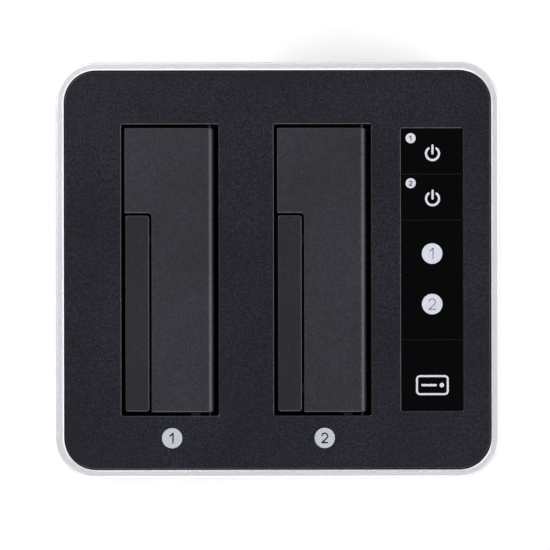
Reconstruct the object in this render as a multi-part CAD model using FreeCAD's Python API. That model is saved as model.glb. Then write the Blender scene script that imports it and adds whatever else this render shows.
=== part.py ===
"""Two-bay drive dock: a desktop station that takes bare 3.5 inch and 2.5 inch SATA drives from above.

The housing is an extruded aluminium sleeve closed by a moulded top panel and a moulded base tray.
Four long screws, hidden under the rubber feet, run through the sleeve's corner channels and pull the
three together. Each bay is a drive well hung under the panel, closed by a sprung full-size door.
A smaller sprung door for thin 2.5 inch drives is hinged under the full-size one. A control strip at
the right holds two power buttons, two bay indicators and a blank trim plate. The main board on the
base carries the drive sockets and rear ports.

Units are millimetres. +X is to the right, +Y to the back, +Z up. The origin is on the table, under
the centre.
"""

import FreeCAD
import Part
import math
import os

from FreeCAD import Vector

# ---------------------------------------------------------------- drives that the dock is made for
HDD_WIDTH = 101.6            # 3.5 inch drive, side to side
HDD_THICKNESS = 26.1
SSD_WIDTH = 69.85            # 2.5 inch drive, side to side
SSD_THICKNESS = 9.5
SOCKET_FROM_SIDE = 30.12     # drive's side to the middle of its socket, the same on both sizes
SOCKET_FROM_BOTTOM = 3.5     # drive's underside to the middle of its socket
DRIVE_END_PLAY = 1.7         # door opening beyond a drive's side, at each end
DRIVE_GUIDE_PLAY = 0.5       # well wall beyond a drive's side, at each end
DRIVE_FACE_PLAY = 0.3        # well wall to the drive's underside

# ---------------------------------------------------------------- housing
BODY_WIDTH = 160.0
BODY_DEPTH = 150.0
BODY_HEIGHT = 76.0           # table to the sleeve's top rim
CORNER_RADIUS = 14.6         # outer corners, seen from above
SLEEVE_WALL = 3.0
SLEEVE_BOTTOM = 4.0          # height of the sleeve's lower edge
RIM_FILLET = 1.0             # round on the rim's outer edge
RIM_CHAMFER = 0.35           # cut on the rim's inner edge
FIT = 0.2                    # clearance of mating plastic parts

PANEL_THICKNESS = 3.0
PANEL_DROP = 0.4             # panel's top below the rim
PANEL_GAP = 0.4              # panel's edge to the sleeve
PANEL_FILLET = 0.3
OPENING_FILLET = 0.4         # round on the edges of the panel's openings
OPENING_CORNER = 0.6         # inside corners of the openings

# ---------------------------------------------------------------- bays and doors
BAY_1_X = -38.8              # middle of the first opening
BAY_PITCH = 55.0
BAY_WIDTH = 35.0             # opening, across
COLLAR_WALL = 2.0            # wall that lines each opening under the panel
COLLAR_DEPTH = 6.6           # collar below the panel's underside

DOOR_DROP = 0.3              # door's top below the panel's
DOOR_THICKNESS = 2.2
DOOR_END_GAP = 1.25
DOOR_FREE_GAP = 1.1          # at the long edge that swings
DOOR_HINGE_GAP = 1.6         # at the long edge with the barrel
DOOR_FILLET = 0.5
BARREL_RADIUS = 2.4          # round on the door's hinge edge
PIN_FROM_EDGE = 1.7          # hinge axis inside the door's edge
PIN_RADIUS = 0.75
PIN_CLEARANCE = 0.05
PIN_BITE = 2.3               # pin held in the collar at each end
SPRING_POCKET = 9.0          # length of the barrel's pocket
SPRING_POCKET_RADIUS = 1.3
SPRING_POCKET_FLOOR = 0.55   # pocket's open side, below the hinge axis
STOP_WIDTH = 3.3
STOP_THICKNESS = 1.0
STOP_FROM_PIN = 5.0          # middle of the stop, from the hinge axis
STOP_GAP = 0.06
RIB_STATIONS = (0.12, 0.38, 0.62, 0.88)   # along the big door, from its front end
RIB_DEPTH = 1.4
RIB_WIDTH = 1.2
SPRING_WIRE = 0.2            # big door's spring, wire radius
SPRING_TURNS = 5
SPRING_LEG = 8.5             # leg that lifts the door
SPRING_LIFT = 20             # degrees from level of the leg on the collar

NOTCH_WIDTH = 10.8           # bay's left edge to the notch in the big door
NOTCH_LENGTH = 73.0          # bay's front edge to the notch's far end
NOTCH_CORNER = 1.4
SMALL_GAP = 0.75             # small door to the notch
SMALL_THICKNESS = 1.8
SMALL_INSET = 0.25           # small door's free edge, inside the big door's
SMALL_CORNER = 1.0
SMALL_PIN_RADIUS = 0.6
SMALL_PIN_CLEARANCE = 0.05
SMALL_KNUCKLE = 1.2          # radius of the knuckles
SMALL_PIN_DEPTH = 3.6        # hinge axis below the doors' tops
LUG_WIDTH = 3.0
LUG_GAP = 0.3
LUG_STATIONS = (0.12, 0.88)  # along the small door, from its front end
SMALL_SPRING_WIRE = 0.15     # small door's spring, wire radius
SMALL_SPRING_LEG = 5.0       # leg under the big door
SMALL_SPRING_LIFT = 3.9      # leg under the small door

# ---------------------------------------------------------------- drive wells
WELL_BOTTOM = 14.5
WELL_FLOOR = 2.0
WELL_WALL = 2.0
GUIDE_TOP = 42.0             # top of the close-fitting part, below the doors' swing
WELL_LEAD = 3.0              # height of the slope that leads a drive in
WELL_EAR = 8.0
WELL_EAR_THICKNESS = 3.0
EAR_FROM_CORNER = 6.0
BOSS_RADIUS = 3.0
SCREW_HOLE = 1.1             # hole that a self-tapping screw cuts into
SCREW_CLEAR = 1.6
SCREW_DEPTH = 5.5

# ---------------------------------------------------------------- control strip
STRIP_X = 55.7
STRIP_WIDTH = 22.4
STRIP_LENGTH = 101.9
STRIP_DROP = 0.3             # strip's surface below the panel's
STRIP_SEAM = 0.2
GLOSS_FILLET = 0.05          # crisp edge on the strip's polished pieces
BUTTON_LENGTH = 16.4
WINDOW_LENGTH = 43.1
BUTTON_THICKNESS = 2.0
BUTTON_TRAVEL = 0.5
BUTTON_LEG_X = 8.0           # hooked legs, either side of the stem
BUTTON_LEG_WIDTH = 4.0
BUTTON_LEG_THICKNESS = 1.2
INDICATOR_Y = (5.8, -12.4)
INDICATOR_RADIUS = 3.7
PIPE_CLEARANCE = 0.05
FRAME_THICKNESS = 3.0
FRAME_OVERHANG = 3.0         # control frame beyond the strip's sides
FRAME_END = 7.0              # control frame beyond the strip's ends
STAKE_RADIUS = 1.2
STAKE_HEAD = 2.0
STEM_RADIUS = 2.0
CONTROL_BOARD_DROP = 7.2     # frame's underside to the control board
CONTROL_BOARD_THICKNESS = 1.2
CONTROL_BOARD_WIDTH = 20.0
CONTROL_BOARD_LENGTH = 96.0
SWITCH_SIZE = 6.0
SWITCH_HEIGHT = 3.5
PLUNGER_RADIUS = 1.7
PLUNGER_RISE = 1.5

# ---------------------------------------------------------------- base, feet and long screws
BASE_BOTTOM = 2.0
BASE_THICKNESS = 2.5
BASE_INSET = 1.5             # base's edge inside the sleeve's
SPIGOT_HEIGHT = 3.0
SPIGOT_WALL = 2.0
TIE_INSET = 11.0             # long screws' axes inside the housing's sides
CHANNEL_RADIUS = 4.2
CHANNEL_BORE = 2.1
CHANNEL_TOP = 62.0
TIE_RADIUS = 1.75
TIE_BITE = 8.0
TIE_HEAD_RADIUS = 3.5
TIE_HEAD_HEIGHT = 2.0
FOOT_RADIUS = 7.5
FOOT_INSET = 13.5            # feet's centres inside the housing's sides
FOOT_SINK = 1.0              # foot let into the base
VENT_COUNT = 9
VENT_WIDTH = 2.2
VENT_LENGTH = 34.0
VENT_PITCH = 5.0

# ---------------------------------------------------------------- boards, sockets and ports
STANDOFF = 4.5
STANDOFF_RADIUS = 3.0
BOARD_THICKNESS = 1.6
BOARD_HALF_WIDTH = 62.0
BOARD_FRONT = -47.0
BOARD_BACK = 70.2
BOARD_SCREWS = ((-43.0, -42.0), (15.0, -42.0), (57.0, -42.0), (-57.0, 62.0), (-8.0, 65.0), (57.5, 64.0))
SOCKET_LENGTH = 42.7
SOCKET_WIDTH = 5.6
SOCKET_HEIGHT = 10.9
SOCKET_PLAY = 0.7
SLOT_WIDTH = 1.7
SLOT_DEPTH = 6.0
DATA_SLOT = 10.9
POWER_SLOT = 20.9
SLOT_SPACING = 2.6
CONTACT_PITCH = 1.27
DATA_CONTACTS = 7
POWER_CONTACTS = 15

RIBBON_Y = -38.0
RIBBON_WIDTH = 9.0
RIBBON_THICKNESS = 0.3
RIBBON_CONNECTOR = (5.0, 13.0, 2.6)   # across, along, high
RIBBON_TOP_X = STRIP_X - 3.0
RIBBON_LOW_X = 47.0
RIBBON_BEND = 6.0
CONTROLLER = (50.0, -6.0, 14.0)       # x, y and side of the bridge controller
REGULATORS = ((45.0, 14.0, 7.0), (55.0, 14.0, 7.0))
CHIP_HEIGHT = 1.3
PAD_HEIGHT = 0.5
HEAT_SIZE = 20.0
HEAT_BASE = 2.0
HEAT_FINS = 7
FIN_THICKNESS = 1.0
FIN_HEIGHT = 9.0                      # with the base
CAPACITORS = ((42.5, 28.0), (42.5, 38.0), (57.0, 28.0), (57.0, 38.0))
CAPACITOR_RADIUS = 4.0
CAPACITOR_HEIGHT = 12.0
INDUCTORS = ((43.0, -22.0), (56.0, -22.0), (49.8, 50.0))
INDUCTOR_SIZE = 10.0
INDUCTOR_HEIGHT = 5.0

IO_CENTRE_X = 30.0
IO_WIDTH = 62.0
IO_TOP = 26.0
IO_RECESS = 0.8
USB_X = 14.0
USB_WIDTH = 8.94
USB_HEIGHT = 3.16
USB_DEPTH = 10.0
USB_WALL = 0.3
DC_X = 45.0
DC_WIDTH = 9.0
DC_HEIGHT = 11.0
DC_DEPTH = 14.2
DC_BORE = 3.1                # bore's radius
DC_PIN = 1.0                 # pin's radius
DC_BORE_DEPTH = 10.5
LOCK_X = -58.0
LOCK_Z = 15.0
LOCK_WIDTH = 3.0
LOCK_HEIGHT = 7.0

# ---------------------------------------------------------------- worked out
PANEL_TOP = BODY_HEIGHT - PANEL_DROP
PANEL_UNDER = PANEL_TOP - PANEL_THICKNESS
DOOR_TOP = PANEL_TOP - DOOR_DROP
DOOR_UNDER = DOOR_TOP - DOOR_THICKNESS
COLLAR_BOTTOM = PANEL_UNDER - COLLAR_DEPTH
HINGE_Z = DOOR_TOP - BARREL_RADIUS
SMALL_HINGE_Z = DOOR_TOP - SMALL_PIN_DEPTH
BAY_LENGTH = HDD_WIDTH + 2 * DRIVE_END_PLAY
BAY_FRONT = -BAY_LENGTH / 2
BAY_BACK = BAY_LENGTH / 2
BAYS = {1: BAY_1_X, 2: BAY_1_X + BAY_PITCH}
STRIP_TOP = PANEL_TOP - STRIP_DROP
STRIP_BACK = STRIP_LENGTH / 2
WINDOW_BACK = STRIP_BACK - 2 * (BUTTON_LENGTH + STRIP_SEAM)
TRIM_BACK = WINDOW_BACK - WINDOW_LENGTH
FRAME_TOP = PANEL_UNDER
FRAME_UNDER = FRAME_TOP - FRAME_THICKNESS
CONTROL_TOP = FRAME_UNDER - CONTROL_BOARD_DROP
FLOOR_TOP = BASE_BOTTOM + BASE_THICKNESS
BOARD_UNDER = FLOOR_TOP + STANDOFF
BOARD_TOP = BOARD_UNDER + BOARD_THICKNESS
SOCKET_TOP = BOARD_TOP + SOCKET_HEIGHT
TIE_POINTS = [(sx * (BODY_WIDTH / 2 - TIE_INSET), sy * (BODY_DEPTH / 2 - TIE_INSET))
              for sx in (-1, 1) for sy in (-1, 1)]
FOOT_POINTS = [(sx * (BODY_WIDTH / 2 - FOOT_INSET), sy * (BODY_DEPTH / 2 - FOOT_INSET))
               for sx in (-1, 1) for sy in (-1, 1)]
TIE_SEAT = BASE_BOTTOM + FOOT_SINK + TIE_HEAD_HEIGHT
BOSS_TOP = SLEEVE_BOTTOM + SPIGOT_HEIGHT


# ================================================================ shape helpers
def block(x0, x1, y0, y1, z0, z1):
    """A box between two corners."""
    return Part.makeBox(x1 - x0, y1 - y0, z1 - z0, Vector(x0, y0, z0))


def upright(x, y, z0, z1, radius):
    """A cylinder along Z."""
    return Part.makeCylinder(radius, z1 - z0, Vector(x, y, z0))


def along_y(x, z, y0, y1, radius):
    """A cylinder along Y."""
    return Part.makeCylinder(radius, y1 - y0, Vector(x, y0, z), Vector(0, 1, 0))


def rounded_outline(x0, x1, y0, y1, z, radius):
    """A closed wire: a rectangle with round corners, in the plane at z."""
    corners = ((x1 - radius, y0 + radius, -90), (x1 - radius, y1 - radius, 0),
               (x0 + radius, y1 - radius, 90), (x0 + radius, y0 + radius, 180))
    arcs = [Part.Arc(Part.Circle(Vector(x, y, z), Vector(0, 0, 1), radius),
                     math.radians(a), math.radians(a + 90)).toShape()
            for x, y, a in corners]
    edges = []
    for here, following in zip(arcs, arcs[1:] + arcs[:1]):
        start, end = here.Vertexes[-1].Point, following.Vertexes[0].Point
        edges.append(here)
        if start.distanceToPoint(end) > 1e-6:
            edges.append(Part.makeLine(start, end))
    return Part.Wire(edges)


def rounded_block(x0, x1, y0, y1, z0, z1, radius):
    """A box whose upright edges are round."""
    face = Part.Face(rounded_outline(x0, x1, y0, y1, z0, radius))
    return face.extrude(Vector(0, 0, z1 - z0))


def profile_along_y(points, y0, y1):
    """Extrudes a closed outline, given as (x, z) pairs, from y0 to y1."""
    wire = Part.makePolygon([Vector(x, y0, z) for x, z in points + points[:1]])
    return Part.Face(wire).extrude(Vector(0, y1 - y0, 0))


def joined(shapes):
    """One solid from overlapping or touching shapes."""
    first, *rest = shapes
    return first.multiFuse(rest).removeSplitter()


def without(shape, tools):
    """The shape less all the tools."""
    return shape.cut(Part.makeCompound(tools)) if len(tools) > 1 else shape.cut(tools[0])


def rounded_edges(shape, radius, wanted):
    """Rounds each edge for which wanted(its bounding box) is true."""
    return shape.makeFillet(radius, [e for e in shape.Edges if wanted(e.BoundBox)])


def flat_at(z):
    """A test for edges that lie in the plane at z."""
    return lambda box: abs(box.ZMin - z) < 1e-4 and abs(box.ZMax - z) < 1e-4


def inside(box, x0, x1, y0, y1):
    """Whether a bounding box lies within a rectangle, seen from above."""
    slack = 1e-3
    return (box.XMin > x0 - slack and box.XMax < x1 + slack
            and box.YMin > y0 - slack and box.YMax < y1 + slack)


def screw(x, y, seat, tip, radius, head_radius, head_height):
    """A pan-head screw along Z: its head bears at seat and its point is at tip, above or below it."""
    way = 1 if tip > seat else -1
    shank = Part.makeCylinder(radius, abs(tip - seat), Vector(x, y, seat), Vector(0, 0, way))
    head = Part.makeCylinder(head_radius, head_height, Vector(x, y, seat), Vector(0, 0, -way))
    outer = seat - way * head_height
    head = head.makeFillet(head_height * 0.4, [e for e in head.Edges if flat_at(outer)(e.BoundBox)])
    arm, slit = head_radius * 0.55, head_radius * 0.13
    low, high = sorted((outer, outer + way * head_height * 0.6))
    cross = [block(x - arm, x + arm, y - slit, y + slit, low, high),
             block(x - slit, x + slit, y - arm, y + arm, low, high)]
    return without(joined([shank, head]), cross)


def torsion_spring(x, z, y_start, coil_radius, wire_radius, pitch, sweep, start_angle, start_leg, end_leg):
    """A coil about a line along Y with a straight tangent leg at each end. It winds from +X towards +Z,
    by sweep degrees from start_angle, and runs towards -Y."""
    count = round(sweep / 20)
    points = []
    for i in range(count + 1):
        turned = sweep * i / count
        angle = math.radians(start_angle + turned)
        points.append(Vector(coil_radius * math.cos(angle), coil_radius * math.sin(angle),
                             pitch * turned / 360))
    coil = Part.BSplineCurve()
    coil.interpolate(points)
    leaving = coil.tangent(coil.LastParameter)[0].normalize()
    arriving = coil.tangent(coil.FirstParameter)[0].normalize()
    begin, finish = points[0] - arriving * start_leg, points[-1] + leaving * end_leg
    path = Part.Wire([Part.makeLine(begin, points[0]), coil.toShape(), Part.makeLine(points[-1], finish)])
    section = Part.Wire([Part.makeCircle(wire_radius, begin, arriving)])
    spring = path.makePipeShell([section], True, False)
    spring.rotate(Vector(0, 0, 0), Vector(1, 0, 0), 90)
    spring.translate(Vector(x, y_start, z))
    return spring


def save(name, *solids):
    """Writes one node: a single solid, or a group of separate ones."""
    shape = solids[0] if len(solids) == 1 else Part.makeCompound(list(solids))
    wrong = [s for s in shape.Solids if not s.isValid() or s.Volume <= 0]
    if wrong or len(shape.Solids) != len(solids):
        raise ValueError(f"{name}: {len(shape.Solids)} solids for {len(solids)}, {len(wrong)} not valid")
    shape.exportStep(f"parts/{name}.step")


# ================================================================ places worked out for each bay
def bay_edges(bay):
    """Left and right edges of a bay's opening."""
    return BAYS[bay] - BAY_WIDTH / 2, BAYS[bay] + BAY_WIDTH / 2


def hinge_x(bay):
    """Axis of the big door's pin."""
    return bay_edges(bay)[1] - DOOR_HINGE_GAP - PIN_FROM_EDGE


def small_hinge_x(bay):
    """Axis of the small door's pin: far enough over for a thin drive to pass the open door."""
    return bay_edges(bay)[0] + DRIVE_FACE_PLAY + SSD_THICKNESS + SMALL_PIN_DEPTH


def small_door_span(bay):
    """Left and right edges, front and back ends of the small door."""
    left = bay_edges(bay)[0]
    return (left + DOOR_FREE_GAP + SMALL_INSET, left + NOTCH_WIDTH - SMALL_GAP,
            BAY_FRONT + DOOR_END_GAP + SMALL_INSET, BAY_FRONT + NOTCH_LENGTH - SMALL_GAP)


def lug_places(bay):
    """Middles along Y of the small door's two lugs."""
    front, back = small_door_span(bay)[2:]
    return [front + share * (back - front) for share in LUG_STATIONS]


def socket_place(bay):
    """Middle of a bay's drive socket. Both drive sizes stand against the left wall and the front guide."""
    return (bay_edges(bay)[0] + DRIVE_FACE_PLAY + SOCKET_FROM_BOTTOM,
            -HDD_WIDTH / 2 + SOCKET_FROM_SIDE)


def ear_places(bay):
    """Centres of a well's four screw ears."""
    left, right = bay_edges(bay)
    out = BAY_BACK + COLLAR_WALL + WELL_EAR / 2
    return [(x, y) for x in (left + EAR_FROM_CORNER, right - EAR_FROM_CORNER) for y in (-out, out)]


def stake_places():
    """Heat stakes that hold the control frame."""
    reach = STRIP_BACK + FRAME_END / 2
    return [(STRIP_X + sx * STRIP_WIDTH / 3, sy * reach) for sx in (-1, 1) for sy in (-1, 1)]


def button_span(button):
    """Front and back ends of a power button. Button 1 is at the back."""
    back = STRIP_BACK - STRIP_SEAM / 2 - (button - 1) * (BUTTON_LENGTH + STRIP_SEAM)
    return back - BUTTON_LENGTH, back


def button_y(button):
    """Middle of a power button along Y."""
    return sum(button_span(button)) / 2


def control_screw_places():
    """Screws that hold the control board to its frame."""
    return [(STRIP_X + sx * (CONTROL_BOARD_WIDTH / 2 - 2.6), y)
            for sx in (-1, 1) for y in (-CONTROL_BOARD_LENGTH / 2 + 3.0, WINDOW_BACK - 3.0)]


# ================================================================ housing
def housing_sleeve():
    """Extruded aluminium sleeve with a screw channel in each corner and a bay for the ports at the back."""
    half_w, half_d = BODY_WIDTH / 2, BODY_DEPTH / 2
    outer = rounded_block(-half_w, half_w, -half_d, half_d, SLEEVE_BOTTOM, BODY_HEIGHT, CORNER_RADIUS)
    inner_radius = CORNER_RADIUS - SLEEVE_WALL
    inner = rounded_block(SLEEVE_WALL - half_w, half_w - SLEEVE_WALL, SLEEVE_WALL - half_d,
                          half_d - SLEEVE_WALL, SLEEVE_BOTTOM - 1, BODY_HEIGHT + 1, inner_radius)
    tube = outer.cut(inner)
    at_rim = flat_at(BODY_HEIGHT)
    within = (SLEEVE_WALL - half_w, half_w - SLEEVE_WALL, SLEEVE_WALL - half_d, half_d - SLEEVE_WALL)
    inner_edges = [e for e in tube.Edges if at_rim(e.BoundBox) and inside(e.BoundBox, *within)]
    tube = tube.makeChamfer(RIM_CHAMFER, inner_edges)
    tube = rounded_edges(tube, RIM_FILLET, lambda b: at_rim(b) and not inside(b, *within))

    shapes = [tube]
    bores = []
    for x, y in TIE_POINTS:
        shapes.append(upright(x, y, BOSS_TOP, CHANNEL_TOP, CHANNEL_RADIUS))
        to_corner = TIE_INSET * math.sqrt(2) - CORNER_RADIUS * (math.sqrt(2) - 1)
        web = block(0, to_corner - SLEEVE_WALL / 2, -CHANNEL_RADIUS / 2, CHANNEL_RADIUS / 2,
                    BOSS_TOP, CHANNEL_TOP)
        corner_way = math.degrees(math.atan2(math.copysign(1, y), math.copysign(1, x)))
        web.rotate(Vector(0, 0, 0), Vector(0, 0, 1), corner_way)
        web.translate(Vector(x, y, 0))
        shapes.append(web)
        bores.append(upright(x, y, BOSS_TOP - 1, CHANNEL_TOP + 1, CHANNEL_BORE))
    sleeve = joined(shapes)

    cut_half = IO_WIDTH / 2
    port_bay = block(IO_CENTRE_X - cut_half, IO_CENTRE_X + cut_half, half_d - 2 * SLEEVE_WALL,
                     half_d + 1, SLEEVE_BOTTOM - 1, IO_TOP)
    lock_radius = LOCK_WIDTH / 2
    lock = rounded_block(LOCK_X - lock_radius, LOCK_X + lock_radius, -LOCK_HEIGHT / 2,
                         LOCK_HEIGHT / 2, 0, 3 * SLEEVE_WALL, lock_radius * 0.98)
    lock.rotate(Vector(0, 0, 0), Vector(1, 0, 0), 90)
    lock.translate(Vector(0, half_d + SLEEVE_WALL, LOCK_Z))
    return without(sleeve, bores + [port_bay, lock])


def top_panel():
    """Moulded panel: door openings with collars, the strip's window, and every boss that hangs under it."""
    gap = SLEEVE_WALL + PANEL_GAP
    half_w, half_d = BODY_WIDTH / 2 - gap, BODY_DEPTH / 2 - gap
    plate = rounded_block(-half_w, half_w, -half_d, half_d, PANEL_UNDER, PANEL_TOP, CORNER_RADIUS - gap)
    solids, holes = [plate], []
    for bay in BAYS:
        left, right = bay_edges(bay)
        solids.append(rounded_block(left - COLLAR_WALL, right + COLLAR_WALL, BAY_FRONT - COLLAR_WALL,
                                    BAY_BACK + COLLAR_WALL, COLLAR_BOTTOM, PANEL_UNDER + 0.1,
                                    OPENING_CORNER + COLLAR_WALL))
        holes.append(rounded_block(left, right, BAY_FRONT, BAY_BACK, COLLAR_BOTTOM - 1, PANEL_TOP + 1,
                                   OPENING_CORNER))
        for x, y in ear_places(bay):
            solids.append(upright(x, y, COLLAR_BOTTOM, PANEL_UNDER, BOSS_RADIUS))
            holes.append(upright(x, y, COLLAR_BOTTOM - 1, COLLAR_BOTTOM + SCREW_DEPTH, SCREW_HOLE))
    holes.append(rounded_block(STRIP_X - STRIP_WIDTH / 2, STRIP_X + STRIP_WIDTH / 2, -STRIP_BACK,
                               STRIP_BACK, PANEL_UNDER - 1, PANEL_TOP + 1, OPENING_CORNER))
    for x, y in TIE_POINTS:
        solids.append(upright(x, y, CHANNEL_TOP, PANEL_UNDER, CHANNEL_RADIUS))
        holes.append(upright(x, y, CHANNEL_TOP - 1, CHANNEL_TOP + TIE_BITE + 0.5, TIE_RADIUS + 0.02))
    for x, y in stake_places():
        solids.append(upright(x, y, FRAME_UNDER - 0.6, PANEL_UNDER, STAKE_RADIUS))
        solids.append(upright(x, y, FRAME_UNDER - 1.0, FRAME_UNDER, STAKE_HEAD))
    panel = without(joined(solids), holes)
    panel = rounded_edges(panel, OPENING_FILLET,
                          lambda b: flat_at(PANEL_TOP)(b) and inside(b, 1 - half_w, half_w - 1,
                                                                     1 - half_d, half_d - 1))
    panel = rounded_edges(panel, PANEL_FILLET,
                          lambda b: flat_at(PANEL_TOP)(b) and not inside(b, 1 - half_w, half_w - 1,
                                                                         1 - half_d, half_d - 1))
    stops, pin_holes = [], []
    for bay in BAYS:
        x = hinge_x(bay) - STOP_FROM_PIN
        low = DOOR_UNDER + STOP_GAP
        stops.append(block(x - STOP_WIDTH / 2, x + STOP_WIDTH / 2, BAY_FRONT - 0.5,
                           BAY_FRONT + DOOR_END_GAP - FIT, low, low + STOP_THICKNESS))
        pin_holes.append(along_y(hinge_x(bay), HINGE_Z, BAY_FRONT - PIN_BITE, BAY_BACK + PIN_BITE,
                                 PIN_RADIUS + 0.02))
    return without(joined([panel] + stops), pin_holes)


def base_tray():
    """Moulded floor: a rim that carries the sleeve, a spigot inside it, standoffs, foot seats and vents."""
    half_w, half_d = BODY_WIDTH / 2 - BASE_INSET, BODY_DEPTH / 2 - BASE_INSET
    plate = rounded_block(-half_w, half_w, -half_d, half_d, BASE_BOTTOM, SLEEVE_BOTTOM,
                          CORNER_RADIUS - BASE_INSET)
    edge = SLEEVE_WALL + FIT
    in_w, in_d, in_r = BODY_WIDTH / 2 - edge, BODY_DEPTH / 2 - edge, CORNER_RADIUS - edge
    raised = rounded_block(-in_w, in_w, -in_d, in_d, SLEEVE_BOTTOM, BOSS_TOP, in_r)
    wall = SPIGOT_WALL
    hollow = rounded_block(wall - in_w, in_w - wall, wall - in_d, in_d - wall, FLOOR_TOP, BOSS_TOP + 1,
                           in_r - wall)
    solids, holes = [plate, raised.cut(hollow)], []
    for x, y in TIE_POINTS:
        solids.append(upright(x, y, BASE_BOTTOM, BOSS_TOP, CHANNEL_RADIUS))
        holes.append(upright(x, y, BASE_BOTTOM - 1, BOSS_TOP + 1, TIE_RADIUS + FIT))
        holes.append(upright(x, y, BASE_BOTTOM - 1, TIE_SEAT, TIE_HEAD_RADIUS + FIT))
    for x, y in FOOT_POINTS:
        solids.append(upright(x, y, BASE_BOTTOM, FLOOR_TOP, FOOT_RADIUS + 1))
        holes.append(upright(x, y, BASE_BOTTOM - 1, BASE_BOTTOM + FOOT_SINK, FOOT_RADIUS + FIT))
    for x, y in BOARD_SCREWS:
        solids.append(upright(x, y, BASE_BOTTOM, BOARD_UNDER, STANDOFF_RADIUS))
        holes.append(upright(x, y, BOARD_UNDER - SCREW_DEPTH, BOARD_UNDER + 1, SCREW_HOLE))
    for side in (-1, 1):
        for i in range(VENT_COUNT):
            x = side * BODY_WIDTH / 5 + (i - (VENT_COUNT - 1) / 2) * VENT_PITCH
            holes.append(rounded_block(x - VENT_WIDTH / 2, x + VENT_WIDTH / 2, -VENT_LENGTH / 2,
                                       VENT_LENGTH / 2, BASE_BOTTOM - 1, FLOOR_TOP + 1, VENT_WIDTH * 0.49))
    port_gap = block(IO_CENTRE_X - IO_WIDTH / 2 - 1, IO_CENTRE_X + IO_WIDTH / 2 + 1,
                     BODY_DEPTH / 2 - SLEEVE_WALL - SPIGOT_WALL - 1, BODY_DEPTH / 2, SLEEVE_BOTTOM,
                     BOSS_TOP + 1)
    tray = without(joined(solids), holes + [port_gap])
    low_edge = flat_at(BASE_BOTTOM)
    return rounded_edges(tray, 0.8, lambda b: low_edge(b) and not inside(b, 1 - half_w, half_w - 1,
                                                                         1 - half_d, half_d - 1))


def rear_io_plate():
    """Moulded plate that fills the sleeve's port bay and has a hole for each port."""
    half = IO_WIDTH / 2 - FIT / 2
    back = BODY_DEPTH / 2 - IO_RECESS
    flange_front = BODY_DEPTH / 2 - SLEEVE_WALL - FIT - 1.2
    plate = block(IO_CENTRE_X - half, IO_CENTRE_X + half, flange_front, back, SLEEVE_BOTTOM,
                  IO_TOP - FIT / 2)
    flange = block(IO_CENTRE_X - half - 2, IO_CENTRE_X + half + 2, flange_front,
                   BODY_DEPTH / 2 - SLEEVE_WALL - FIT / 4, BOSS_TOP + FIT, IO_TOP + 2)
    usb_z = BOARD_TOP + USB_HEIGHT / 2
    usb_half = USB_WIDTH / 2 + FIT
    usb_hole = rounded_block(USB_X - usb_half, USB_X + usb_half, -USB_HEIGHT / 2 - FIT,
                             USB_HEIGHT / 2 + FIT, 0, 12, USB_HEIGHT / 2)
    usb_hole.rotate(Vector(0, 0, 0), Vector(1, 0, 0), 90)
    usb_hole.translate(Vector(0, BODY_DEPTH / 2 + 3, usb_z))
    dc_hole = block(DC_X - DC_WIDTH / 2 - FIT, DC_X + DC_WIDTH / 2 + FIT, flange_front - 1,
                    BODY_DEPTH / 2 + 1, BOARD_TOP - FIT, BOARD_TOP + DC_HEIGHT + FIT)
    shape = without(joined([plate, flange]), [usb_hole, dc_hole])
    outer = [e for e in shape.Edges if e.BoundBox.YMin > back - 1e-4
             and (e.BoundBox.ZMin > IO_TOP - 1 or e.BoundBox.XLength < 1e-4)
             and abs(abs(e.CenterOfMass.x - IO_CENTRE_X) - half) < 1e-3]
    return shape.makeFillet(0.4, outer)


def rubber_feet():
    """Four round rubber feet, stuck in their seats over the long screws' heads."""
    feet = []
    for x, y in FOOT_POINTS:
        foot = upright(x, y, 0, BASE_BOTTOM + FOOT_SINK, FOOT_RADIUS)
        feet.append(rounded_edges(foot, 0.7, flat_at(0)))
    return feet


def tie_screws():
    """Four long screws from the base, through the sleeve's channels, into the panel's posts."""
    return [screw(x, y, TIE_SEAT, CHANNEL_TOP + TIE_BITE, TIE_RADIUS, TIE_HEAD_RADIUS,
                  TIE_HEAD_HEIGHT - FIT / 2) for x, y in TIE_POINTS]


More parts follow.
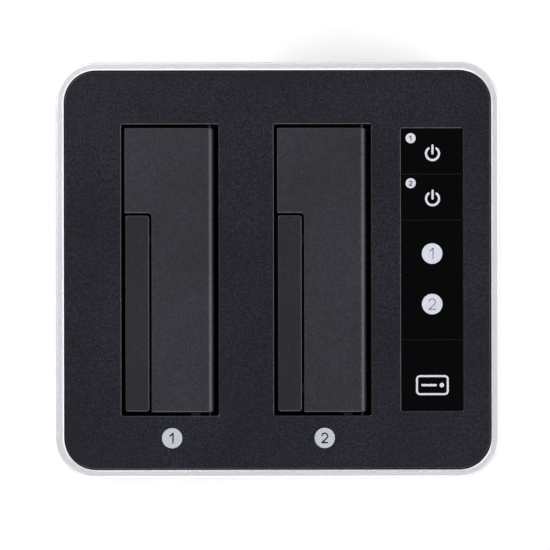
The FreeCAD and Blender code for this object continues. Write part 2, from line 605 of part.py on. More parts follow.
# ================================================================ bays
def bay_well(bay):
    """Moulded drive well: close walls below, wide ones above, and an open right side for the doors' swing."""
    left, right = bay_edges(bay)
    guide_right = left + DRIVE_FACE_PLAY + HDD_THICKNESS + 0.8
    guide_end = HDD_WIDTH / 2 + DRIVE_GUIDE_PLAY
    out_end = BAY_BACK + COLLAR_WALL
    lower = block(left - WELL_WALL, guide_right + WELL_WALL, -out_end, out_end, WELL_BOTTOM, GUIDE_TOP)
    upper = block(left - WELL_WALL, right + COLLAR_WALL, -out_end, out_end, GUIDE_TOP, COLLAR_BOTTOM)
    pocket = block(left, guide_right, -guide_end, guide_end, WELL_BOTTOM + WELL_FLOOR, GUIDE_TOP + 1)
    wide = block(left, right + COLLAR_WALL + 1, BAY_FRONT, BAY_BACK, GUIDE_TOP, COLLAR_BOTTOM + 1)
    flare, flare_top = guide_right + WELL_WALL * 0.6, GUIDE_TOP + 0.1
    funnel = profile_along_y([(guide_right - 0.1, GUIDE_TOP - WELL_LEAD), (flare, flare_top),
                              (guide_right - 0.1, flare_top)], -guide_end, guide_end)
    solids = [lower, upper]
    holes = [pocket, wide, funnel]
    for x, y in ear_places(bay):
        inward = -1 if y > 0 else 1
        y0, y1 = sorted((y - inward * WELL_EAR / 2, y + inward * (WELL_EAR / 2 + 0.5)))
        solids.append(rounded_block(x - WELL_EAR / 2, x + WELL_EAR / 2, y0, y1,
                                    COLLAR_BOTTOM - WELL_EAR_THICKNESS, COLLAR_BOTTOM, 1.5))
        holes.append(upright(x, y, COLLAR_BOTTOM - WELL_EAR_THICKNESS - 1, COLLAR_BOTTOM + 1, SCREW_CLEAR))
    sx, sy = socket_place(bay)
    holes.append(block(sx - SOCKET_WIDTH / 2 - SOCKET_PLAY, sx + SOCKET_WIDTH / 2 + SOCKET_PLAY,
                       sy - SOCKET_LENGTH / 2 - SOCKET_PLAY, sy + SOCKET_LENGTH / 2 + SOCKET_PLAY,
                       WELL_BOTTOM - 1, WELL_BOTTOM + WELL_FLOOR + 1))
    return without(joined(solids), holes)


def well_screws():
    """Screws that hold both wells to the panel's bosses."""
    seat = COLLAR_BOTTOM - WELL_EAR_THICKNESS
    return [screw(x, y, seat, COLLAR_BOTTOM + SCREW_DEPTH - 0.5, SCREW_HOLE - 0.02, 2.4, 1.6)
            for bay in BAYS for x, y in ear_places(bay)]


def bay_door(bay):
    """Full-size door: a flat plate, rolled into a barrel at its hinge edge and notched for the small door."""
    left, right = bay_edges(bay)
    x = hinge_x(bay)
    front, back = BAY_FRONT + DOOR_END_GAP, BAY_BACK - DOOR_END_GAP
    free, roll = left + DOOR_FREE_GAP, right - DOOR_HINGE_GAP - BARREL_RADIUS
    plate = rounded_block(free, right, front, back, DOOR_UNDER, DOOR_TOP, OPENING_CORNER)
    notch_x, notch_y = left + NOTCH_WIDTH, BAY_FRONT + NOTCH_LENGTH
    notch = rounded_block(left - NOTCH_CORNER * 2, notch_x, BAY_FRONT - NOTCH_CORNER * 2, notch_y,
                          DOOR_UNDER - 1, DOOR_TOP + 1, NOTCH_CORNER)
    plate = rounded_edges(plate.cut(notch), DOOR_FILLET, flat_at(DOOR_TOP))
    plate = plate.common(block(free - 1, roll, front - 1, back + 1, DOOR_UNDER - 1, DOOR_TOP + 1))
    barrel = along_y(roll, DOOR_TOP - BARREL_RADIUS, front, back, BARREL_RADIUS)
    barrel = barrel.makeFillet(DOOR_FILLET, [e for e in barrel.Edges if e.BoundBox.YLength < 1e-4])
    solids, holes = [plate, barrel], []

    small_x = small_hinge_x(bay)
    for share in RIB_STATIONS:
        y = front + share * (back - front)
        start = small_x + SMALL_SPRING_LEG + 1 if y < notch_y + 1 else free + 3
        solids.append(block(start, roll, y - RIB_WIDTH / 2, y + RIB_WIDTH / 2, DOOR_UNDER - RIB_DEPTH,
                            DOOR_UNDER + 0.1))
    stop_x = x - STOP_FROM_PIN
    solids.append(block(stop_x - STOP_WIDTH / 2, stop_x + STOP_WIDTH / 2, BAY_FRONT + FIT,
                        front + STOP_WIDTH, DOOR_UNDER - STOP_THICKNESS, DOOR_UNDER))
    half_pocket = SPRING_POCKET / 2
    # The spring's free leg lifts this pad.
    pad_low = HINGE_Z - PIN_RADIUS - 0.2
    solids.append(block(x - SPRING_LEG - 1, x - SPRING_LEG + 3, half_pocket - 3.4, half_pocket - 1.0,
                        pad_low, DOOR_UNDER + 0.1))
    holes.append(along_y(x, HINGE_Z, front - 1, back + 1, PIN_RADIUS + PIN_CLEARANCE))
    holes.append(along_y(x, HINGE_Z, -half_pocket, half_pocket, SPRING_POCKET_RADIUS))
    holes.append(block(roll - BARREL_RADIUS - 1, right, -half_pocket, half_pocket,
                       HINGE_Z - BARREL_RADIUS - 1, HINGE_Z - SPRING_POCKET_FLOOR))
    for lug_y in lug_places(bay):
        for side in (-1, 1):
            near = lug_y + side * (LUG_WIDTH / 2 + LUG_GAP)
            y0, y1 = sorted((near, near + side * LUG_WIDTH))
            solids.append(along_y(small_x, SMALL_HINGE_Z, y0, y1, SMALL_KNUCKLE))
            solids.append(block(small_x - SMALL_KNUCKLE, small_x + SMALL_KNUCKLE, y0, y1, SMALL_HINGE_Z,
                                DOOR_UNDER + 0.1))
            holes.append(along_y(small_x, SMALL_HINGE_Z, y0 - 0.1, y1 + 0.1, SMALL_PIN_RADIUS + 0.02))
    return without(joined(solids), holes)


def door_pin(bay):
    """Steel pin through the big door's barrel, held in the collar at both ends."""
    reach = PIN_BITE - 0.1
    pin = along_y(hinge_x(bay), HINGE_Z, BAY_FRONT - reach, BAY_BACK + reach, PIN_RADIUS)
    return pin.makeChamfer(0.2, [e for e in pin.Edges if e.BoundBox.YLength < 1e-4])


def door_spring(bay):
    """Torsion spring in the barrel's pocket: one leg lifts the door, the other bears on the collar."""
    coil = PIN_RADIUS + PIN_CLEARANCE + SPRING_WIRE
    to_collar = PIN_FROM_EDGE + DOOR_HINGE_GAP - SPRING_WIRE
    slope = math.radians(SPRING_LIFT)
    fixed_leg = (to_collar + coil * math.sin(slope)) / math.cos(slope)
    return torsion_spring(hinge_x(bay), HINGE_Z, SPRING_POCKET / 2 - 1.6, coil, SPRING_WIRE, 4 * SPRING_WIRE,
                          SPRING_TURNS * 360 - SPRING_LIFT, 270, SPRING_LEG, fixed_leg)


def small_door(bay):
    """Small door: a flat plate with two cranked lugs that reach under the big door to the pin."""
    left, right, front, back = small_door_span(bay)
    plate = rounded_block(left, right, front, back, DOOR_TOP - SMALL_THICKNESS, DOOR_TOP, SMALL_CORNER)
    plate = rounded_edges(plate, DOOR_FILLET, flat_at(DOOR_TOP))
    x = small_hinge_x(bay)
    solids, holes = [plate], []
    root = DOOR_TOP - SMALL_THICKNESS + 0.1
    arm_top = DOOR_UNDER - 0.1
    arm_low = SMALL_HINGE_Z - SMALL_KNUCKLE
    for y in lug_places(bay):
        y0, y1 = y - LUG_WIDTH / 2, y + LUG_WIDTH / 2
        solids.append(along_y(x, SMALL_HINGE_Z, y0, y1, SMALL_KNUCKLE))
        solids.append(profile_along_y([(right - 3.0, root), (right - 0.1, root), (right - 0.1, arm_top),
                                       (x, arm_top), (x, arm_low), (right - 1.6, arm_low)], y0, y1))
        holes.append(along_y(x, SMALL_HINGE_Z, y0 - 1, y1 + 1, SMALL_PIN_RADIUS + SMALL_PIN_CLEARANCE))
    return without(joined(solids), holes)


def small_door_pin(bay):
    """Steel pin held in the big door's lugs."""
    first, last = lug_places(bay)
    reach = LUG_WIDTH * 1.5 + LUG_GAP
    return along_y(small_hinge_x(bay), SMALL_HINGE_Z, first - reach, last + reach, SMALL_PIN_RADIUS)


def small_door_spring(bay):
    """Torsion spring on the small door's pin, with a leg under each door."""
    coil = SMALL_PIN_RADIUS + 2 * SMALL_PIN_CLEARANCE + SMALL_SPRING_WIRE
    middle = sum(lug_places(bay)) / 2
    return torsion_spring(small_hinge_x(bay), SMALL_HINGE_Z, middle + 2, coil, SMALL_SPRING_WIRE,
                          4 * SMALL_SPRING_WIRE, SPRING_TURNS * 360 - 14, 96, SMALL_SPRING_LIFT,
                          SMALL_SPRING_LEG)


def drive_socket(bay):
    """Upright 22-way drive socket: a data slot and a power slot, each with its key."""
    x, y = socket_place(bay)
    body = rounded_block(x - SOCKET_WIDTH / 2, x + SOCKET_WIDTH / 2, y - SOCKET_LENGTH / 2,
                         y + SOCKET_LENGTH / 2, BOARD_TOP, SOCKET_TOP, 0.8)
    body = rounded_edges(body, 0.4, flat_at(SOCKET_TOP))
    slots = []
    for start, length in socket_slots(y):
        slots.append(block(x - SLOT_WIDTH / 2, x + SLOT_WIDTH / 2, start, start + length,
                           SOCKET_TOP - SLOT_DEPTH, SOCKET_TOP + 1))
        slots.append(block(x, x + SLOT_WIDTH / 2 + 0.9, start, start + 1.1, SOCKET_TOP - SLOT_DEPTH,
                           SOCKET_TOP + 1))
    return without(body, slots)


def socket_slots(y):
    """Start and length along Y of the socket's data slot and power slot."""
    first = y - (DATA_SLOT + SLOT_SPACING + POWER_SLOT) / 2
    return ((first, DATA_SLOT), (first + DATA_SLOT + SLOT_SPACING, POWER_SLOT))


def socket_contacts(bay):
    """Gold contact strips along one side of both slots."""
    x, y = socket_place(bay)
    strips = []
    for (start, length), count in zip(socket_slots(y), (DATA_CONTACTS, POWER_CONTACTS)):
        for i in range(count):
            middle = start + length / 2 + (i - (count - 1) / 2) * CONTACT_PITCH
            strips.append(block(x - SLOT_WIDTH / 2, x - SLOT_WIDTH / 2 + 0.25, middle - 0.35, middle + 0.35,
                                SOCKET_TOP - SLOT_DEPTH, SOCKET_TOP - 0.5))
    return strips


# ================================================================ control strip
def control_frame():
    """Moulded frame staked under the panel. It backs the strip and carries the buttons' board."""
    half_w = STRIP_WIDTH / 2 + FRAME_OVERHANG
    half_l = STRIP_BACK + FRAME_END
    solids = [rounded_block(STRIP_X - half_w, STRIP_X + half_w, -half_l, half_l, FRAME_UNDER, FRAME_TOP, 2.0)]
    holes = [upright(x, y, FRAME_UNDER - 1, FRAME_TOP + 1, STAKE_RADIUS + 0.05) for x, y in stake_places()]
    for button in (1, 2):
        y = button_y(button)
        holes.append(upright(STRIP_X, y, FRAME_UNDER - 1, FRAME_TOP + 1, STEM_RADIUS + FIT))
        for side in (-1, 1):
            x = STRIP_X + side * BUTTON_LEG_X
            half_x, half_y = BUTTON_LEG_THICKNESS / 2 + 1, BUTTON_LEG_WIDTH / 2 + 0.3
            holes.append(block(x - half_x, x + half_x, y - half_y, y + half_y, FRAME_UNDER - 1,
                               FRAME_TOP + 1))
    for y in INDICATOR_Y:
        holes.append(upright(STRIP_X, y, FRAME_UNDER - 1, FRAME_TOP + 1, INDICATOR_RADIUS + PIPE_CLEARANCE))
    for x, y in control_screw_places():
        solids.append(upright(x, y, CONTROL_TOP, FRAME_UNDER, 2.4))
        holes.append(upright(x, y, CONTROL_TOP - 1, FRAME_UNDER - 1.5, 0.85))
    return without(joined(solids), holes)


def power_button(button):
    """Glossy key with a stem for its switch and two hooked legs that keep it in the frame."""
    front, back = button_span(button)
    y = button_y(button)
    half_w = STRIP_WIDTH / 2 - STRIP_SEAM
    under = STRIP_TOP - BUTTON_THICKNESS
    cap = rounded_block(STRIP_X - half_w, STRIP_X + half_w, front, back, under, STRIP_TOP, 0.4)
    cap = rounded_edges(cap, GLOSS_FILLET, flat_at(STRIP_TOP))
    stem_low = CONTROL_TOP + SWITCH_HEIGHT + PLUNGER_RISE
    solids = [cap, upright(STRIP_X, y, stem_low, under, STEM_RADIUS)]
    hook_top, low = FRAME_UNDER - 0.1, FRAME_UNDER - 2.0
    half_x, half_y = BUTTON_LEG_THICKNESS / 2, BUTTON_LEG_WIDTH / 2
    for side in (-1, 1):
        x = STRIP_X + side * BUTTON_LEG_X
        solids.append(block(x - half_x, x + half_x, y - half_y, y + half_y, low, under))
        solids.append(profile_along_y([(x, hook_top), (x + side * (half_x + 1.5), hook_top),
                                       (x + side * half_x, low), (x, low)], y - half_y, y + half_y))
    return joined(solids)


def indicator_window():
    """Dark glossy window over the bay indicators, bonded to the frame."""
    half_w = STRIP_WIDTH / 2 - STRIP_SEAM / 2
    plate = rounded_block(STRIP_X - half_w, STRIP_X + half_w, TRIM_BACK + STRIP_SEAM / 2,
                          WINDOW_BACK - STRIP_SEAM / 2, FRAME_TOP, STRIP_TOP, 0.3)
    plate = rounded_edges(plate, GLOSS_FILLET, flat_at(STRIP_TOP))
    hole_radius = INDICATOR_RADIUS + PIPE_CLEARANCE
    return without(plate, [upright(STRIP_X, y, FRAME_TOP - 1, STRIP_TOP + 1, hole_radius)
                           for y in INDICATOR_Y])


def trim_plate():
    """Glossy blank plate that fills the front end of the strip."""
    half_w = STRIP_WIDTH / 2 - STRIP_SEAM / 2
    plate = rounded_block(STRIP_X - half_w, STRIP_X + half_w, -STRIP_BACK + STRIP_SEAM / 2,
                          TRIM_BACK - STRIP_SEAM / 2, FRAME_TOP, STRIP_TOP, 0.3)
    return rounded_edges(plate, GLOSS_FILLET, flat_at(STRIP_TOP))


def light_pipe(bay):
    """Milky light guide from a lamp on the control board to the strip's surface."""
    y = INDICATOR_Y[bay - 1]
    rod = upright(STRIP_X, y, CONTROL_TOP + 2.4, STRIP_TOP, INDICATOR_RADIUS)
    flange = upright(STRIP_X, y, FRAME_UNDER - 1.5, FRAME_UNDER, INDICATOR_RADIUS + 1.0)
    return joined([rod, flange])


def control_board():
    """Circuit board under the strip."""
    half = CONTROL_BOARD_WIDTH / 2
    board = rounded_block(STRIP_X - half, STRIP_X + half, -CONTROL_BOARD_LENGTH / 2,
                          CONTROL_BOARD_LENGTH / 2, CONTROL_TOP - CONTROL_BOARD_THICKNESS, CONTROL_TOP, 1.0)
    return without(board, [upright(x, y, CONTROL_TOP - 5, CONTROL_TOP + 1, 1.1)
                           for x, y in control_screw_places()])


def tact_switches():
    """Push switches under the two buttons."""
    switches = []
    for button in (1, 2):
        y, half = button_y(button), SWITCH_SIZE / 2
        body = rounded_block(STRIP_X - half, STRIP_X + half, y - half, y + half, CONTROL_TOP,
                             CONTROL_TOP + SWITCH_HEIGHT, 0.4)
        bore = upright(STRIP_X, y, CONTROL_TOP + 0.5, CONTROL_TOP + SWITCH_HEIGHT + 1, PLUNGER_RADIUS + 0.1)
        switches.append(body.cut(bore))
    return switches


def tact_plunger(button):
    """A switch's plunger, which travels with the button's stem."""
    low = CONTROL_TOP + 0.5 + BUTTON_TRAVEL + 0.2
    top = CONTROL_TOP + SWITCH_HEIGHT + PLUNGER_RISE
    return upright(STRIP_X, button_y(button), low, top, PLUNGER_RADIUS)


def indicator_leds():
    """Lamps under the light guides."""
    return [block(STRIP_X - 1.75, STRIP_X + 1.75, y - 1.4, y + 1.4, CONTROL_TOP, CONTROL_TOP + 1.9)
            for y in INDICATOR_Y]


def control_board_screws():
    """Small screws that hold the control board."""
    seat = CONTROL_TOP - CONTROL_BOARD_THICKNESS
    return [screw(x, y, seat, CONTROL_TOP + 4.5, 0.83, 1.7, 1.1) for x, y in control_screw_places()]


# ================================================================ ribbon between the boards
def ribbon_connectors():
    """The ribbon's two connectors, under the control board and on the main board."""
    across, along, high = RIBBON_CONNECTOR
    upper = CONTROL_TOP - CONTROL_BOARD_THICKNESS
    solids = []
    for x, z0, z1 in ((RIBBON_TOP_X, upper - high, upper), (RIBBON_LOW_X, BOARD_TOP, BOARD_TOP + high)):
        solids.append(block(x - across / 2, x + across / 2, RIBBON_Y - along / 2, RIBBON_Y + along / 2,
                            z0, z1))
    return solids


def ribbon_cable():
    """Flat ribbon that drops straight from the upper connector, steps over and ends in the lower one."""
    top = CONTROL_TOP - CONTROL_BOARD_THICKNESS - RIBBON_CONNECTOR[2]
    low = BOARD_TOP + RIBBON_CONNECTOR[2]
    middle = (top + low) / 2
    shift = RIBBON_TOP_X - RIBBON_LOW_X
    angle = math.acos(1 - shift / (2 * RIBBON_BEND))
    drop = RIBBON_BEND * math.sin(angle)
    start, end = Vector(RIBBON_TOP_X, 0, top), Vector(RIBBON_LOW_X, 0, low)
    upper, lower = Vector(RIBBON_TOP_X, 0, middle + drop), Vector(RIBBON_LOW_X, 0, middle - drop)
    half = angle / 2
    via_1 = upper + Vector(-RIBBON_BEND * (1 - math.cos(half)), 0, -RIBBON_BEND * math.sin(half))
    centre = (upper + lower) * 0.5
    via_2 = lower + Vector(RIBBON_BEND * (1 - math.cos(half)), 0, RIBBON_BEND * math.sin(half))
    path = Part.Wire([Part.makeLine(start, upper), Part.Arc(upper, via_1, centre).toShape(),
                      Part.Arc(centre, via_2, lower).toShape(), Part.makeLine(lower, end)])
    strip = path.makeOffset2D(RIBBON_THICKNESS / 2, 0, False, True, True)
    other = path.makeOffset2D(-RIBBON_THICKNESS / 2, 0, False, True, True)
    ends = [Part.makeLine(a, b) for a, b in zip(ends_of(strip), ends_of(other))]
    outline = Part.Wire(Part.__sortEdges__(strip.Edges + other.Edges + ends))
    ribbon = Part.Face(outline).extrude(Vector(0, RIBBON_WIDTH, 0))
    ribbon.translate(Vector(0, RIBBON_Y - RIBBON_WIDTH / 2, 0))
    return ribbon


def ends_of(wire):
    """The two ends of an open wire, top first."""
    return sorted((wire.OrderedVertexes[0].Point, wire.OrderedVertexes[-1].Point), key=lambda p: -p.z)


# ================================================================ main board
def main_board():
    """Main circuit board on the base's standoffs."""
    board = rounded_block(-BOARD_HALF_WIDTH, BOARD_HALF_WIDTH, BOARD_FRONT, BOARD_BACK, BOARD_UNDER,
                          BOARD_TOP, 1.5)
    return without(board, [upright(x, y, BOARD_UNDER - 1, BOARD_TOP + 1, SCREW_CLEAR)
                           for x, y in BOARD_SCREWS])


def board_screws():
    """Screws that hold the main board."""
    return [screw(x, y, BOARD_TOP, BOARD_UNDER - SCREW_DEPTH + 0.5, SCREW_HOLE - 0.02, 2.6, 1.6)
            for x, y in BOARD_SCREWS]


def controller_chips():
    """The bridge controller under the heat sink and two regulators beside it."""
    top = BOARD_TOP + CHIP_HEIGHT
    return [block(x - size / 2, x + size / 2, y - size / 2, y + size / 2, BOARD_TOP, top)
            for x, y, size in (CONTROLLER,) + REGULATORS]


def thermal_pad():
    """Soft pad between the controller and its heat sink."""
    x, y, size = CONTROLLER
    low = BOARD_TOP + CHIP_HEIGHT
    return block(x - size / 2, x + size / 2, y - size / 2, y + size / 2, low, low + PAD_HEIGHT)


def heat_sink():
    """Extruded aluminium heat sink."""
    x, y = CONTROLLER[:2]
    low, half = BOARD_TOP + CHIP_HEIGHT + PAD_HEIGHT, HEAT_SIZE / 2
    step = (HEAT_SIZE - FIN_THICKNESS) / (HEAT_FINS - 1)
    plate = block(x - half, x + half, y - half, y + half, low, low + HEAT_BASE)
    walls = [block(x - half + i * step, x - half + i * step + FIN_THICKNESS, y - half, y + half,
                   low, low + FIN_HEIGHT) for i in range(HEAT_FINS)]
    return joined([plate] + walls)


def power_capacitors():
    """Electrolytic capacitors."""
    top = BOARD_TOP + CAPACITOR_HEIGHT
    return [rounded_edges(upright(x, y, BOARD_TOP, top, CAPACITOR_RADIUS), 0.6, flat_at(top))
            for x, y in CAPACITORS]


def power_inductors():
    """Moulded power inductors."""
    half, top = INDUCTOR_SIZE / 2, BOARD_TOP + INDUCTOR_HEIGHT
    return [rounded_block(x - half, x + half, y - half, y + half, BOARD_TOP, top, 1.2)
            for x, y in INDUCTORS]


def usb_shell():
    """Steel shell of the round-ended data port."""
    z, back = BOARD_TOP + USB_HEIGHT / 2, BODY_DEPTH / 2 - IO_RECESS

    def stadium(inset, start, depth):
        half_w, half_h = USB_WIDTH / 2 - inset, USB_HEIGHT / 2 - inset
        solid = rounded_block(USB_X - half_w, USB_X + half_w, -half_h, half_h, start, start + depth,
                              half_h * 0.98)
        solid.rotate(Vector(0, 0, 0), Vector(1, 0, 0), 90)
        solid.translate(Vector(0, back, z))
        return solid

    return stadium(0, 0, USB_DEPTH).cut(stadium(USB_WALL, -1, USB_DEPTH))


def usb_tongue():
    """Contact tongue inside the data port, with its root block."""
    z, back = BOARD_TOP + USB_HEIGHT / 2, BODY_DEPTH / 2 - IO_RECESS
    tongue = block(USB_X - 3.3, USB_X + 3.3, back - USB_DEPTH + 1.0, back - 1.2, z - 0.35, z + 0.35)
    root = block(USB_X - 3.0, USB_X + 3.0, back - USB_DEPTH + 1.0, back - USB_DEPTH + 3.0, z - 1.2, z + 1.2)
    return joined([tongue, root])


def dc_jack():
    """Barrel power jack."""
    back = BODY_DEPTH / 2 - IO_RECESS
    body = block(DC_X - DC_WIDTH / 2, DC_X + DC_WIDTH / 2, back - DC_DEPTH, back, BOARD_TOP,
                 BOARD_TOP + DC_HEIGHT)
    body = body.makeFillet(0.5, [e for e in body.Edges if e.BoundBox.YLength > DC_DEPTH - 1e-3])
    return body.cut(along_y(DC_X, BOARD_TOP + DC_HEIGHT / 2, back - DC_BORE_DEPTH, back + 1, DC_BORE))


def dc_jack_pin():
    """Centre pin of the power jack."""
    back = BODY_DEPTH / 2 - IO_RECESS
    pin = along_y(DC_X, BOARD_TOP + DC_HEIGHT / 2, back - DC_BORE_DEPTH, back - 1.2, DC_PIN)
    return pin.makeFillet(0.4, [e for e in pin.Edges if e.BoundBox.YMin > back - 1.3])


# ================================================================ all nodes
os.makedirs("parts", exist_ok=True)

save("housing_sleeve", housing_sleeve())
save("top_panel", top_panel())
save("base_tray", base_tray())
save("rear_io_plate", rear_io_plate())
save("rubber_feet", *rubber_feet())
save("tie_screws", *tie_screws())
save("well_screws", *well_screws())
for number in BAYS:
    save(f"bay_well_{number}", bay_well(number))
    save(f"bay_door_{number}", bay_door(number))
    save(f"door_pin_{number}", door_pin(number))
    save(f"door_spring_{number}", door_spring(number))
    save(f"small_door_{number}", small_door(number))
    save(f"small_door_pin_{number}", small_door_pin(number))
    save(f"small_door_spring_{number}", small_door_spring(number))
    save(f"drive_socket_{number}", drive_socket(number))
    save(f"socket_contacts_{number}", *socket_contacts(number))
    save(f"power_button_{number}", power_button(number))
    save(f"tact_plunger_{number}", tact_plunger(number))
    save(f"light_pipe_{number}", light_pipe(number))
save("control_frame", control_frame())
save("indicator_window", indicator_window())
save("trim_plate", trim_plate())
save("control_board", control_board())
save("tact_switches", *tact_switches())
save("indicator_leds", *indicator_leds())
save("control_board_screws", *control_board_screws())
save("ribbon_cable", ribbon_cable())
save("ribbon_connectors", *ribbon_connectors())
save("main_board", main_board())
save("board_screws", *board_screws())
save("controller_chips", *controller_chips())
save("thermal_pad", thermal_pad())
save("heat_sink", heat_sink())
save("power_capacitors", *power_capacitors())
save("power_inductors", *power_inductors())
save("usb_shell", usb_shell())
save("usb_tongue", usb_tongue())
save("dc_jack", dc_jack())
save("dc_jack_pin", dc_jack_pin())
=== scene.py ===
import math

import bmesh
import bpy
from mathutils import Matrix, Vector


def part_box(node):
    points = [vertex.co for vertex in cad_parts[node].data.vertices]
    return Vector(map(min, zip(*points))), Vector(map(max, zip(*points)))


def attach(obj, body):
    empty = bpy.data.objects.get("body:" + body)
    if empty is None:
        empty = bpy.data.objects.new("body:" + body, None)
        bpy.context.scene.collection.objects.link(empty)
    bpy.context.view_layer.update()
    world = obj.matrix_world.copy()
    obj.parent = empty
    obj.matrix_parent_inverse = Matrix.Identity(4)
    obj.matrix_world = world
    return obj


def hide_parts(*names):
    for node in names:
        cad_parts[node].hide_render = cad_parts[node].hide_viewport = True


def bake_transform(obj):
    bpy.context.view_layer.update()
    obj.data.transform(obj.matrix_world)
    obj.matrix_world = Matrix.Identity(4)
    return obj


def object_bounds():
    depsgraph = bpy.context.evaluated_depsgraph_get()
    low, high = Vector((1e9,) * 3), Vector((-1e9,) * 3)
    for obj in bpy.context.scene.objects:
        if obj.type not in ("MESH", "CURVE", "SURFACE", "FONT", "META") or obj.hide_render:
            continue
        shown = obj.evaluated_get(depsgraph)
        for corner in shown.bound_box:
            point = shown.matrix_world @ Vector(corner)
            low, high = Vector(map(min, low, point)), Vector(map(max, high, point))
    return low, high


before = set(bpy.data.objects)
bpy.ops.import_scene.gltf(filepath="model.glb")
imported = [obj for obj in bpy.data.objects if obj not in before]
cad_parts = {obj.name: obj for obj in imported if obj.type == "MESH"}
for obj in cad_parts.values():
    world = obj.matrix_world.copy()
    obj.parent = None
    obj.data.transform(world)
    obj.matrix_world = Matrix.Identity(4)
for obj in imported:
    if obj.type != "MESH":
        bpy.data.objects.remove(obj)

cad_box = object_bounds()
MM = 0.001


# ---------------------------------------------------------------------------------------------- base tray
# The moulded floor that everything stands on: black ABS with a light grain, a spigot that the metal sleeve
# drops over, board standoffs and two groups of cooling slots.
def linear(code):
    """A six-figure sRGB colour as linear red, green, blue and alpha."""
    parts = [int(code[i:i + 2], 16) / 255 for i in (1, 3, 5)]
    return [c / 12.92 if c <= 0.04045 else ((c + 0.055) / 1.055) ** 2.4 for c in parts] + [1.0]


def add(tree, kind, sockets=None, **settings):
    """Adds a node with its settings, input values and links."""
    made = tree.nodes.new(kind)
    for name, value in settings.items():
        setattr(made, name, value)
    for name, value in (sockets or {}).items():
        if isinstance(value, bpy.types.NodeSocket):
            tree.links.new(value, made.inputs[name])
        else:
            made.inputs[name].default_value = value
    return made


def new_finish(name, **constants):
    """An empty material: itself, its tree, its shader and the object's own coordinates in metres."""
    material = bpy.data.materials.new(name)
    material.use_nodes = True
    tree = material.node_tree
    tree.nodes.clear()
    shader = add(tree, "ShaderNodeBsdfPrincipled", constants)
    add(tree, "ShaderNodeOutputMaterial", {"Surface": shader.outputs[0]})
    where = add(tree, "ShaderNodeTexCoord").outputs["Object"]
    return material, tree, shader, where


def moulded_abs(name, dark, light, grain_mm, depth_mm, roughness):
    """ABS from a spark-eroded mould: rounded pits, worn crests, a cloudy tone from the melt's flow."""
    material, tree, shader, where = new_finish(name, IOR=1.53)
    flow = add(tree, "ShaderNodeTexNoise", {"Vector": where, "Scale": 1000 / 28, "Detail": 3.0})
    pits = add(tree, "ShaderNodeTexNoise", {"Vector": where, "Scale": 1000 / grain_mm, "Detail": 3.0,
                                            "Roughness": 0.62})
    pores = add(tree, "ShaderNodeTexVoronoi", {"Vector": where, "Scale": 1000 / (grain_mm * 1.5)},
                feature="SMOOTH_F1")
    speck = add(tree, "ShaderNodeMapRange", {"Value": pits.outputs["Fac"], "From Min": 0.36,
                                             "From Max": 0.64})
    tone = add(tree, "ShaderNodeMix", {0: speck.outputs[0], 6: linear(dark), 7: linear(light)},
               data_type="RGBA")
    cloud = add(tree, "ShaderNodeMapRange", {"Value": flow.outputs["Fac"], "From Min": 0.3, "From Max": 0.7,
                                             "To Min": 0.82, "To Max": 1.14})
    shade = add(tree, "ShaderNodeVectorMath", {0: tone.outputs[2], "Scale": cloud.outputs[0]},
                operation="SCALE")
    tree.links.new(shade.outputs[0], shader.inputs["Base Color"])
    sheen = add(tree, "ShaderNodeMapRange", {"Value": pits.outputs["Fac"], "From Min": 0.3, "From Max": 0.7,
                                             "To Min": roughness + 0.08, "To Max": roughness - 0.08})
    tree.links.new(sheen.outputs[0], shader.inputs["Roughness"])
    height = add(tree, "ShaderNodeMath", {0: pits.outputs["Fac"], 1: pores.outputs["Distance"]},
                 operation="ADD")
    bump = add(tree, "ShaderNodeBump", {"Height": height.outputs[0], "Strength": 0.75,
                                        "Distance": depth_mm * MM})
    tree.links.new(bump.outputs[0], shader.inputs["Normal"])
    return material


def dress(material, *names):
    """Gives CAD nodes their material."""
    for name in names:
        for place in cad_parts[name].material_slots:
            place.material = material


base_abs = moulded_abs("black ABS, lightly grained mould", "#131315", "#1c1c1f", 0.45, 0.03, 0.55)
dress(base_abs, "base_tray")


